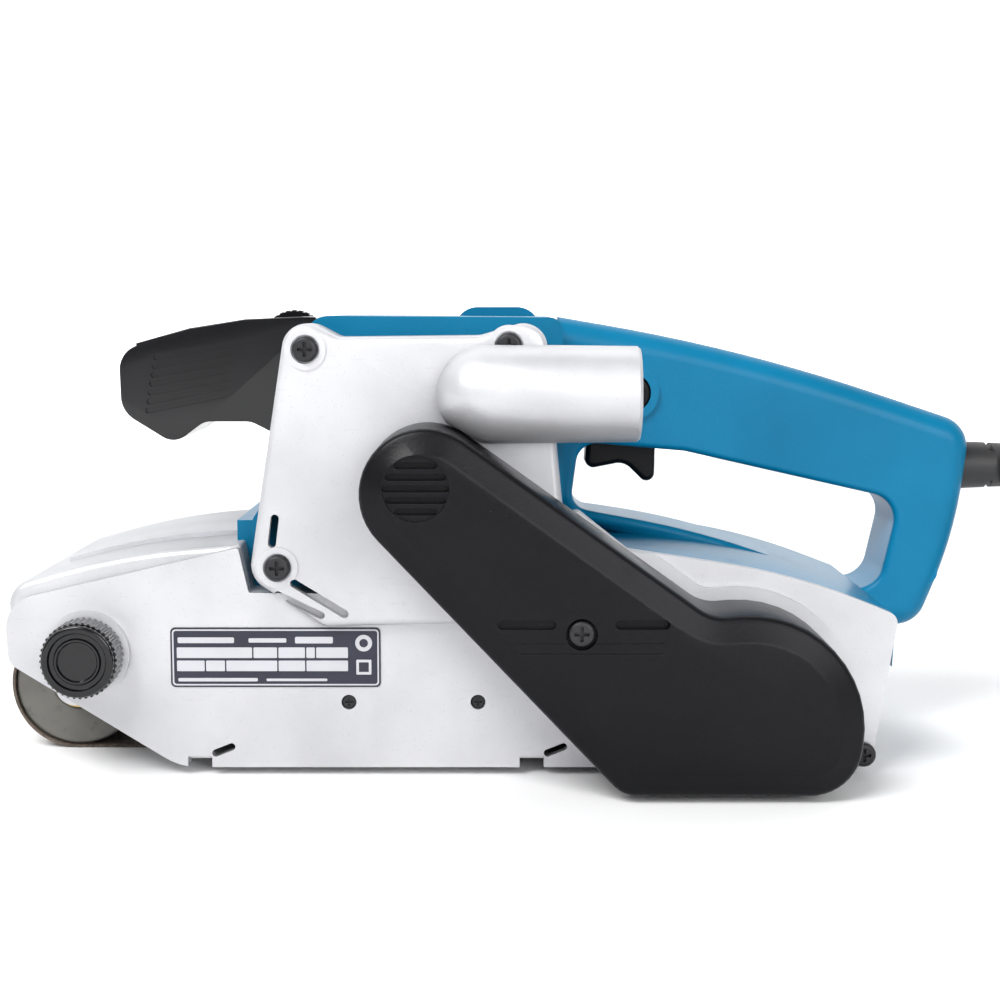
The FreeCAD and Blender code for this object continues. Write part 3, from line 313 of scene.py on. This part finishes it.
blue_plastic = moulded("blue_plastic", (0.0005, 0.140, 0.270), 0.36, 900.0, 0.00006,
                       rim_wear_and_sheen=(0.01, 0.20, 0.34), haze=0.004, gloss=0.16)
satin_black = moulded("satin_black", (0.0022, 0.0022, 0.0034), 0.36, 1100.0, 0.00007,
                      rim_wear_and_sheen=(0.016, 0.016, 0.020), haze=0.004, gloss=0.16)
gloss_black = moulded("gloss_black", (0.0010, 0.0010, 0.0020), 0.20, 1400.0, 0.00002, coat=0.55,
                      rim_wear_and_sheen=(0.006, 0.006, 0.008), haze=0.002, gloss=0.20)
carbon = moulded("pressed_carbon", (0.02, 0.02, 0.02), 0.55, 1500.0, 0.00005)


def rubber_finish(name, tone, rough):
    made = Finish(name)
    fine = made.noise(1100.0, 3.0, 0.6)
    cloud = made.noise(24.0, 5.0, 0.6)
    chalk = made.noise(120.0, 6.0, 0.7).between(0.52, 0.74)
    colour = made.blend(cloud.between(0.3, 0.7), tone, tuple(part * 1.7 for part in tone))
    colour = made.blend(chalk * 0.15, colour, (0.09, 0.088, 0.085))
    made.set(Base_Color=colour, Roughness=cloud * 0.10 + chalk * 0.08 + rough)
    made.bump(fine + cloud * 0.5, 0.00007, 0.5)
    return made.material


rubber = rubber_finish("black_rubber", (0.014, 0.014, 0.015), 0.46)
print("plastics and rubber ready")

# %% [markdown]
# ## Belt, sole and plate
# Sanding cloth is dark grit in resin on a woven back. The grit is a dense field of sharp grains,
# so a cell pattern gives both the height and the change of colour from grain to grain.


# %% Abrasive and cork
def grit_cloth():
    made = Finish("grit_cloth")
    grains = made.cells(1500.0, settings={"feature": "F1"})
    tint = made.cells(1500.0, "Color", settings={"feature": "F1"})
    grain_value = made.add("ShaderNodeRGBToBW", Color=tint)
    load = made.noise(26.0, 5.0, 0.65).between(0.42, 0.72)
    colour = made.blend(grain_value, (0.030, 0.022, 0.017), (0.130, 0.095, 0.070))
    colour = made.blend(load * 0.35, colour, (0.20, 0.17, 0.14))
    made.set(Base_Color=colour, Roughness=0.72 - grains * 0.2)
    made.bump(1.0 - grains, 0.00035, 0.8)
    return made.material


def cork_sheet():
    made = Finish("cork_sheet")
    grains = made.cells(420.0, settings={"feature": "F1"})
    tint = made.add("ShaderNodeRGBToBW", Color=made.cells(420.0, "Color", {"feature": "F1"}))
    colour = made.blend(tint, (0.22, 0.12, 0.05), (0.50, 0.32, 0.16))
    made.set(Base_Color=colour, Roughness=0.85 - grains * 0.2)
    made.bump(grains, 0.0003, 0.6)
    return made.material


abrasive, cork = grit_cloth(), cork_sheet()
print("abrasive cloth and cork ready")

# %% Give every part its finish
FINISHES = {
    aluminium: ["main_frame", "side_plate", "fan_cover"],
    blue_plastic: ["motor_housing", "handle_left", "handle_right"],
    satin_black: ["belt_cover", "tracking_knob", "brush_caps", "fan", "large_pulley", "switch_box",
                  "speed_dial", "speed_control", "lock_button", "trigger", "nameplate"],
    gloss_black: ["front_grip"],
    black_oxide: ["fan_cover_screws", "belt_cover_screw", "rear_screw", "handle_screws",
                  "side_plate_screws"],
    steel: ["shoe_screws", "small_pulley", "counter_shaft", "drive_pinion", "final_gear",
            "motor_bearings", "counter_bearings", "roller_bearings", "rear_shaft", "tension_fork",
            "tension_lever", "tension_spring", "shoe_plate", "trigger_spring", "plug_pins"],
    core_steel: ["stator", "armature"],
    copper: ["field_coils", "commutator"],
    brass: ["brush_holders", "front_bearings"],
    carbon: ["carbon_brushes"],
    roller_metal: ["rear_roller", "front_roller"],
    rubber: ["rear_roller_rubber", "poly_v_belt", "cord_guard", "plug_body", "cord_lead",
             "cord_coil", "cord_tail"],
    cork: ["shoe_pad"],
    abrasive: ["abrasive_belt"],
}
for finish, names in FINISHES.items():
    for name in names:
        part = nodes[name]
        part.data.materials.clear()
        part.data.materials.append(finish)
left_over = set(nodes) - {name for names in FINISHES.values() for name in names}
print("parts without a finish:", sorted(left_over))

# %% [markdown]
# ## The cord
# A corded tool of this size has 5 m of 8 mm rubber lead. It leaves the tapered guard, drops onto
# a neat coil of thirteen turns, and ends in its plug. The whole run is one smooth curve whose
# control points are the corners of the route, so nothing along it can look like bent wire.

# %% Cord
COIL_CENTRE = (0.404, 0.004)
TURN_POINTS = 14
EASE_POINTS = 4.0           # points over which the coil steps to its next turn
SWELL = 1.0 / 0.977         # the curve cuts its corners, so the route is that much wider
TURNS = [(59.0, 25.3), (50.9, 25.3), (46.9, 18.3), (55.0, 18.3), (63.1, 18.3), (71.2, 18.3),
         (67.1, 11.3), (59.0, 11.3), (50.9, 11.3), (46.9, 4.4), (55.0, 4.4), (63.1, 4.4),
         (70.9, 4.4)]


def on_turn(radius, height, step):
    """Place on a turn of the coil, radius and height in mm."""
    angle = math.pi / 2 - 2.0 * math.pi * step / TURN_POINTS
    return (COIL_CENTRE[0] + radius * SWELL * math.cos(angle) / 1000.0,
            COIL_CENTRE[1] + radius * SWELL * math.sin(angle) / 1000.0, height / 1000.0)


route = [(0.2600, 0.0, 0.1013), (0.3060, 0.0, 0.1013), (0.3400, 0.006, 0.0700),
         (0.3570, 0.036, 0.0345)]
for turn, (radius, height) in enumerate(TURNS):
    last_radius, last_height = TURNS[max(0, turn - 1)]
    for step in range(TURN_POINTS):
        ease = min(1.0, (step + 1) / EASE_POINTS)
        route.append(on_turn(last_radius + (radius - last_radius) * ease,
                             last_height + (height - last_height) * ease, step))
for step in range(TURN_POINTS // 2 + 1):
    route.append(on_turn(*TURNS[-1], step))
route += [(0.3880, -0.0680, 0.0055), (0.3660, -0.0690, 0.0125), (0.3460, -0.0695, 0.0136)]

cord_curve = bpy.data.curves.new("mains_cord", "CURVE")
cord_curve.dimensions = "3D"
spline = cord_curve.splines.new("NURBS")
spline.points.add(len(route) - 1)
for point, place in zip(spline.points, route):
    point.co = (*place, 1.0)
spline.order_u = 3
spline.use_endpoint_u = True
cord_curve.resolution_u = 6
cord_curve.bevel_depth = 0.0040
cord_curve.bevel_resolution = 5
cord_curve.use_fill_caps = True
cord_curve.materials.append(rubber)
mains_cord = bpy.data.objects.new("mains_cord", cord_curve)
bpy.context.scene.collection.objects.link(mains_cord)
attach(mains_cord, "machine")
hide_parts("cord_lead", "cord_coil", "cord_tail")
print("cord has", len(route), "control points")

# %% [markdown]
# ## Tracing an outline
# Most housings are a side outline pulled to a width, with rounded rims. An outline is easiest to
# give as a chain of circles joined by their tangent lines, like a belt round pulleys. It is drawn
# as by hand: one vertex is extruded from point to point, the loop is filled, and the face is
# extruded sideways. Rims are then rounded with Bevel.


# %% Tracing helpers
def select_where(test):
    """In edit mode, selects the faces that test accepts, and nothing else."""
    bpy.ops.mesh.select_mode(type="FACE")
    bpy.ops.mesh.select_all(action="DESELECT")
    bpy.ops.object.mode_set(mode="OBJECT")
    for face in bpy.context.object.data.polygons:
        face.select = test(face)
    bpy.ops.object.mode_set(mode="EDIT")


def belt_round(stops, grow=0.0, step=8.0):
    """Points of the closed line round (x, z, radius, turn) circles; turn -1 bends the other way."""
    sized = [(x, z, max(0.05, radius + grow * turn) * turn) for x, z, radius, turn in stops]
    headings = []
    for (x, z, size), (next_x, next_z, next_size) in zip(sized, sized[1:] + sized[:1]):
        span = math.hypot(next_x - x, next_z - z)
        change = next_size - size
        headings.append(math.atan2(next_z - z, next_x - x)
                        - math.atan2(change, math.sqrt(max(0.0, span * span - change * change))))
    points = []
    for index, (x, z, size) in enumerate(sized):
        start, end = headings[index - 1], headings[index]
        sweep = (end - start) % (2 * math.pi)
        if size < 0 and sweep > 0:
            sweep -= 2 * math.pi
        if abs(abs(sweep) - 2 * math.pi) < 1e-6:
            sweep = 0.0
        count = max(1, int(abs(math.degrees(sweep)) / step))
        for part in range(count + 1):
            angle = start + sweep * part / count
            points.append((x + size * math.sin(angle), z - size * math.cos(angle)))
    return points


def drawn_line(name, start, points):
    """One vertex at the (x, y, z) start, extruded along the (x, z) points; all in mm."""
    tidy_selection()
    bpy.ops.mesh.primitive_plane_add(size=0.001)
    piece = bpy.context.object
    piece.name = name
    bpy.ops.object.mode_set(mode="EDIT")
    bpy.ops.mesh.select_mode(type="VERT")
    bpy.ops.mesh.select_all(action="SELECT")
    bpy.ops.mesh.merge(type="CENTER")
    bpy.ops.transform.translate(value=tuple(part / 1000 for part in start))
    for (x, z), (next_x, next_z) in zip(points, points[1:]):
        bpy.ops.mesh.extrude_region_move(TRANSFORM_OT_translate={
            "value": ((next_x - x) / 1000, 0.0, (next_z - z) / 1000)})
    return piece


def traced(name, points, near, far):
    """A solid with the outline of the (x, z) points, from plane near to plane far, in mm."""
    piece = drawn_line(name, (points[0][0], near, points[0][1]), points)
    bpy.ops.mesh.select_all(action="SELECT")
    bpy.ops.mesh.remove_doubles(threshold=0.00002)
    bpy.ops.mesh.edge_face_add()
    bpy.ops.mesh.extrude_region_move(
        TRANSFORM_OT_translate={"value": (0.0, (far - near) / 1000, 0.0)})
    bpy.ops.mesh.select_all(action="SELECT")
    bpy.ops.mesh.normals_make_consistent(inside=False)
    bpy.ops.object.mode_set(mode="OBJECT")
    return piece


def active(piece):
    tidy_selection()
    piece.select_set(True)
    bpy.context.view_layer.objects.active = piece


def in_plane(level):
    """Test for the flat faces in the Y plane level, in mm."""
    return lambda face: abs(face.center.y - level / 1000) < 1e-5 and abs(face.normal.y) > 0.99


def round_rim(piece, level, width, segments=5, profile=0.5):
    """Rounds the rim of the flat face in the Y plane level; both in mm."""
    active(piece)
    bpy.ops.object.mode_set(mode="EDIT")
    select_where(in_plane(level))
    bpy.ops.mesh.region_to_loop()
    bpy.ops.mesh.bevel(offset=width / 1000, segments=segments, profile=profile, affect="EDGES",
                       clamp_overlap=True)
    bpy.ops.object.mode_set(mode="OBJECT")


def inset_face(piece, level, steps):
    """Insets the flat face in the Y plane level by each (thickness, depth) in turn, in m."""
    active(piece)
    bpy.ops.object.mode_set(mode="EDIT")
    select_where(in_plane(level))
    for thickness, depth in steps:
        bpy.ops.mesh.inset(thickness=thickness, depth=depth)
    bpy.ops.object.mode_set(mode="OBJECT")


def carve(piece, tools, operation="DIFFERENCE"):
    """Cuts the tools out of the piece, or joins them on, and removes the tools."""
    for tool in tools:
        active(piece)
        cut = piece.modifiers.new("carve", "BOOLEAN")
        cut.operation, cut.object, cut.solver = operation, tool, "EXACT"
        bpy.ops.object.modifier_apply(modifier=cut.name)
        mesh = tool.data
        bpy.data.objects.remove(tool)
        bpy.data.meshes.remove(mesh)


def settled(piece):
    """Moves a piece's place, turn and size into its mesh."""
    active(piece)
    bpy.ops.object.transform_apply(location=True, rotation=True, scale=True)
    return piece


def rod(name, x, z, radius, near, far, sides=48):
    tidy_selection()
    bpy.ops.mesh.primitive_cylinder_add(
        vertices=sides, radius=radius / 1000, depth=(far - near) / 1000,
        location=(x / 1000, (near + far) / 2000, z / 1000), rotation=(math.radians(90), 0.0, 0.0))
    bpy.context.object.name = name
    return settled(bpy.context.object)


def groove(name, start, end, radius, near, far):
    """A round-ended bar across Y between two (x, z) places: the cutter of a slot."""
    return traced(name, belt_round([(*start, radius, 1), (*end, radius, 1)], step=22.0), near, far)


def finished(piece, finish, body, replaced=(), angle=32.0):
    """Clean mesh, smooth shading, finish and body for a finished piece."""
    active(piece)
    bpy.ops.object.mode_set(mode="EDIT")
    bpy.ops.mesh.select_all(action="SELECT")
    bpy.ops.mesh.remove_doubles(threshold=0.00001)
    bpy.ops.object.mode_set(mode="OBJECT")
    bpy.ops.object.shade_smooth_by_angle(angle=math.radians(angle))
    piece.data.materials.clear()
    piece.data.materials.append(finish)
    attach(piece, body)
    if replaced:
        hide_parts(*replaced)
    print(piece.name, "has", len(piece.data.polygons), "faces")
    return piece


print("tracing helpers ready")

# %% [markdown]
# ## Belt cover
# The black cover is a deep nylon moulding with a sloped, softened rim about 9 mm wide round a flat
# field. The rim is a bevel of the front edge, then two insets that slope up to the field. Openings
# are cut with bars: a sunk round vent with louvres, two slots beside the screw, and two fine lines
# below them.

# %% Belt cover
COVER = [(84.0, 12.5, 10.0, 1), (141.0, 19.5, 17.0, 1), (120.5, 24.5, 38.0, 1),
         (112.0, 76.0, 14.0, -1), (15.5, 101.5, 21.5, 1)]
COVER_SCREW = (65.8, 57.0)
VENT = (12.6, 104.0)
COVER_FRONT = -112.6
cover = traced("belt_cover_shell", belt_round(COVER), COVER_FRONT, -80.4)
round_rim(cover, COVER_FRONT, 2.4, 4)
inset_face(cover, COVER_FRONT, [(0.0052, 0.0030), (0.0012, 0.0003)])
FIELD = -115.9
hollow = traced("cover_hollow", belt_round(COVER, grow=-2.6), -109.6, -79.0)
carve(cover, [hollow])
carve(cover, [rod("post", *COVER_SCREW, 5.6, -113.0, -80.4)], "UNION")
cuts = [rod("vent_sink", *VENT, 10.8, -118.0, FIELD + 1.1, 56),
        rod("screw_sink", *COVER_SCREW, 5.2, -118.0, -112.7, 40),
        groove("left_slot", (40.2, 60.2), (56.0, 60.2), 1.6, -118.0, FIELD + 1.8),
        groove("right_slot", (78.0, 60.2), (92.6, 60.2), 1.6, -118.0, FIELD + 2.6)]
for row in range(-2, 3):
    half = math.sqrt(10.8 ** 2 - (3.7 * abs(row) + 1.0) ** 2) - 1.0
    cuts.append(groove("louvre", (VENT[0] - half, VENT[1] + 3.7 * row),
                       (VENT[0] + half, VENT[1] + 3.7 * row), 1.15, -118.0, FIELD + 3.4))
for height in (54.2, 50.9):
    cuts.append(groove("fine_line", (45.5, height), (92.0, height), 0.30, -118.0, FIELD + 0.35))
carve(cover, cuts)
dots = [rod("dot", x, z, 0.45, FIELD - 0.25, FIELD + 0.5, 10)
        for x, z in ((36.6, 96.6), (34.6, 96.9), (41.5, 95.4), (46.0, 54.2), (92.5, 54.2))]
carve(cover, dots, "UNION")
finished(cover, satin_black, "machine", ["belt_cover"])

# %% [markdown]
# ## Front grip
# The front grip is glossy: a soft nose that hangs down into a lip, with seven fine slanted flutes
# on each cheek for the fingers. The outline is traced, the cheeks are rounded
# with a wide bevel and the flutes are cut with thin bars.

# %% Front grip
GRIP = [(-37.0, 113.0, 1.0, 1), (-28.5, 156.9, 1.0, 1), (-36.0, -20.0, 178.0, 1),
        (-90.6, 138.6, 9.4, 1), (-89.6, 129.0, 10.2, 1), (-80.8, 120.0, 7.2, 1),
        (-67.0, 112.6, 7.0, -1), (-54.0, 111.6, 8.0, -1)]
GRIP_CHEEK = 26.9
grip = traced("grip_body", belt_round(GRIP, step=6.0), -GRIP_CHEEK, GRIP_CHEEK)
for level in (-GRIP_CHEEK, GRIP_CHEEK):
    round_rim(grip, level, 5.6, 8)
flutes = []
for row in range(7):
    left = (-86.6 - 0.55 * row, 143.2 - 3.25 * row)
    right = (-57.5 - 0.70 * row, 148.0 - 3.10 * row)
    for near, far in ((-29.0, -25.7), (25.7, 29.0)):
        flutes.append(groove("flute", left, right, 1.0, near, far))
carve(grip, flutes)
dots = [rod("dot", -54.6 - 0.70 * row, 148.5 - 3.10 * row, 0.45, -27.0, -26.0, 10)
        for row in range(7)]
carve(grip, dots, "UNION")
carve(grip, [rod("wheel_slot", -38.5, 148.2, 12.9, -3.5, 3.5, 48)])
finished(grip, gloss_black, "machine", ["front_grip"], angle=40.0)

# %% [markdown]
# ## Fan cover and dust spout
# The silver cover over the motor's fan is a shallow aluminium casting with a rounded rim. The dust
# spout grows out of it like a torpedo, with an open rear end. The plate is traced; the spout is a
# profile that is spun about its own axis, then joined on; screw seats and slots are cut with bars.

# %% Fan cover: plate
FAN_PLATE = [(-19.0, 58.7, 6.0, 1), (58.0, 60.7, 6.0, 1), (47.5, 148.0, 8.0, 1),
             (32.0, 157.0, 5.0, -1), (-13.5, 156.5, 5.0, -1), (-25.5, 147.5, 8.5, 1),
             (-36.5, 74.0, 9.0, 1)]
FAN_SCREWS = [(-25.9, 147.4), (42.5, 148.6), (-36.2, 73.4), (56.0, 73.0)]
FAN_FRONT = -80.2
fan_cover = traced("fan_cover_shell", belt_round(FAN_PLATE), FAN_FRONT, -76.0)
round_rim(fan_cover, FAN_FRONT, 2.6, 5)
skirt = traced("skirt", belt_round(FAN_PLATE, grow=-0.02), -76.05, -72.2)
carve(fan_cover, [skirt], "UNION")
upper_skirt = traced("upper_skirt", belt_round(FAN_PLATE, grow=-0.04), -72.3, -60.1)
below = traced("below", [(-200.0, -20.0), (200.0, -20.0), (200.0, 81.2), (-200.0, 81.2)],
               -74.0, -50.0)
carve(upper_skirt, [below])
carve(fan_cover, [upper_skirt], "UNION")
carve(fan_cover, [traced("fan_hollow", belt_round(FAN_PLATE, grow=-2.8), -76.4, -50.0)])
print("fan cover plate has", len(fan_cover.data.polygons), "faces")

# %% Fan cover: spout
SPOUT_Y, SPOUT_Z = -84.0, 132.6
profile = [(18.2 + 17.8 * (1 - math.cos(math.radians(10 * k))),
            16.6 * math.sin(math.radians(10 * k))) for k in range(10)]
profile += [(60.0, 16.3), (85.2, 16.0), (86.2, 15.2), (86.2, 14.1), (85.4, 13.9), (50.0, 13.9)]
spout = drawn_line("spout", (profile[0][0], SPOUT_Y, SPOUT_Z), profile)
bpy.ops.mesh.extrude_region_move(TRANSFORM_OT_translate={"value": (0.0, 0.0, -0.0139)})
bpy.ops.mesh.select_all(action="SELECT")
bpy.ops.mesh.spin(steps=64, angle=math.radians(360), center=(0.05, SPOUT_Y / 1000, SPOUT_Z / 1000),
                  axis=(1.0, 0.0, 0.0))
bpy.ops.mesh.select_all(action="SELECT")
bpy.ops.mesh.remove_doubles(threshold=0.00002)
bpy.ops.mesh.normals_make_consistent(inside=False)
bpy.ops.object.mode_set(mode="OBJECT")
clear = traced("cover_room", belt_round(COVER, grow=0.9), -120.0, -80.3)
carve(spout, [clear])
carve(fan_cover, [spout], "UNION")
print("spout joined,", len(fan_cover.data.polygons), "faces")

# %% Fan cover: screw seats, slots and finish
seats = [rod("seat", x, z, 7.0, -80.75, -79.5, 40) for x, z in FAN_SCREWS]
carve(fan_cover, seats, "UNION")
bars = [rod("recess", x, z, 4.9, -86.0, -79.6, 32) for x, z in FAN_SCREWS]
bars += [groove("slot", (-36.9, 90.2), (-38.0, 81.6), 1.4, -86.0, -70.0),
         groove("slot", (-30.6, 67.9), (-13.6, 57.4), 1.45, -86.0, -70.0),
         groove("slot", (-36.2, 64.0), (-21.6, 56.9), 1.3, -86.0, -70.0)]
carve(fan_cover, bars)
finished(fan_cover, aluminium, "machine", ["fan_cover"], angle=35.0)

# %% [markdown]
# ## Tracking knob
# The tracking knob is a fluted moulding with a smooth round face. The flutes are in the outline
# itself, whose points go two out and two in. The face is a separate disc, so that its rings can be
# inset evenly, and it is joined on at the end.

# %% Tracking knob
KNOB = (-102.7, 42.9)
KNOB_FRONT = -91.4
COIN_POINTS = 40 * 4        # forty flutes: two points out, two points in
coin_edge = []
for step in range(COIN_POINTS):
    angle = 2 * math.pi * step / COIN_POINTS
    radius = 13.15 if step % 4 < 2 else 12.55
    coin_edge.append((KNOB[0] + radius * math.cos(angle), KNOB[1] + radius * math.sin(angle)))
knob = traced("knob_body", coin_edge, -88.9, -78.7)
cap = rod("knob_cap", *KNOB, 12.3, KNOB_FRONT, -88.8, 96)
round_rim(cap, KNOB_FRONT, 0.9, 4)
inset_face(cap, KNOB_FRONT, [(0.0014, 0.0), (0.0005, -0.0009), (0.0014, 0.0),
                             (0.0005, 0.0007), (0.0006, 0.0), (0.0005, -0.0008)])
carve(knob, [cap], "UNION")
finished(knob, gloss_black, "knob_unit", ["tracking_knob"], angle=30.0)

# %% [markdown]
# ## Name plate
# The plate is thin dark aluminium with rounded corners, a pale printed border, two rows of empty
# fields and two plain marks at its end. The fields are raised as thin pads, so they stay sharp
# from close up, and they carry no lettering.

# %% Name plate
printed_white = moulded("printed_white", (0.46, 0.46, 0.49), 0.50, 1500.0, 0.00001,
                        rim_wear_and_sheen=(0.5, 0.5, 0.5), haze=0.05, gloss=0.3)
slate = bare_metal("slate_plate", (0.030, 0.032, 0.050), 0.42, metallic=0.30, scale=500.0)


def panel(x0, x1, z0, z1, radius):
    return [(x0 + radius, z0 + radius, radius, 1), (x1 - radius, z0 + radius, radius, 1),
            (x1 - radius, z1 - radius, radius, 1), (x0 + radius, z1 - radius, radius, 1)]


def slab(name, sides, radius, near, far, step=30.0):
    """A plate with round corners between two Y planes; sides are x0, x1, z0 and z1."""
    return traced(name, belt_round(panel(*sides, radius), step=step), near, far)


PRINT_NEAR, PRINT_FAR = -76.50, -76.40
MARK_NEAR = -76.52
WINDOW = (-76.7, -76.2)
plate = slab("plate_base", (-73.9, -1.6, 31.2, 52.0), 1.6, -76.42, -76.02, 15.0)
border = slab("plate_border", (-73.3, -2.2, 31.8, 51.4), 1.2, PRINT_NEAR, PRINT_FAR, 15.0)
carve(border, [slab("window", (-72.8, -2.7, 32.3, 50.9), 0.9, *WINDOW, 15.0)])
fields = []
for row, edges in ((41.2, (-72.0, -45.6, -37.0, -27.4, -24.0, -12.6)),
                   (36.6, (-72.0, -62.0, -55.0, -37.0, -27.4, -12.6))):
    for start, end in zip(edges, edges[1:]):
        fields.append(slab("field", (start + 0.25, end - 0.25, row + 0.2, row + 3.9), 0.3,
                           PRINT_NEAR, PRINT_FAR))
for sides in ((-71.4, -52.0, 46.6, 48.6), (-47.0, -34.0, 46.8, 48.3),
              (-31.0, -18.0, 46.5, 48.8), (-71.4, -44.0, 33.2, 34.4),
              (-41.0, -20.0, 33.3, 34.2)):
    fields.append(slab("bar", sides, 0.4, PRINT_NEAR, PRINT_FAR))
ring = rod("round_mark", -7.4, 46.6, 2.9, MARK_NEAR, PRINT_FAR, 40)
carve(ring, [rod("round_hole", -7.4, 46.6, 1.5, *WINDOW, 32)])
square = slab("square_mark", (-10.0, -4.8, 35.6, 40.8), 0.3, MARK_NEAR, PRINT_FAR)
carve(square, [slab("square_hole", (-9.1, -5.7, 36.5, 39.9), 0.2, *WINDOW)])
tidy_selection()
for part in [border, ring, square] + fields:
    part.select_set(True)
bpy.context.view_layer.objects.active = border
bpy.ops.object.join()
border.name = "plate_print"
finished(plate, slate, "machine", ["nameplate"])
finished(border, printed_white, "machine")
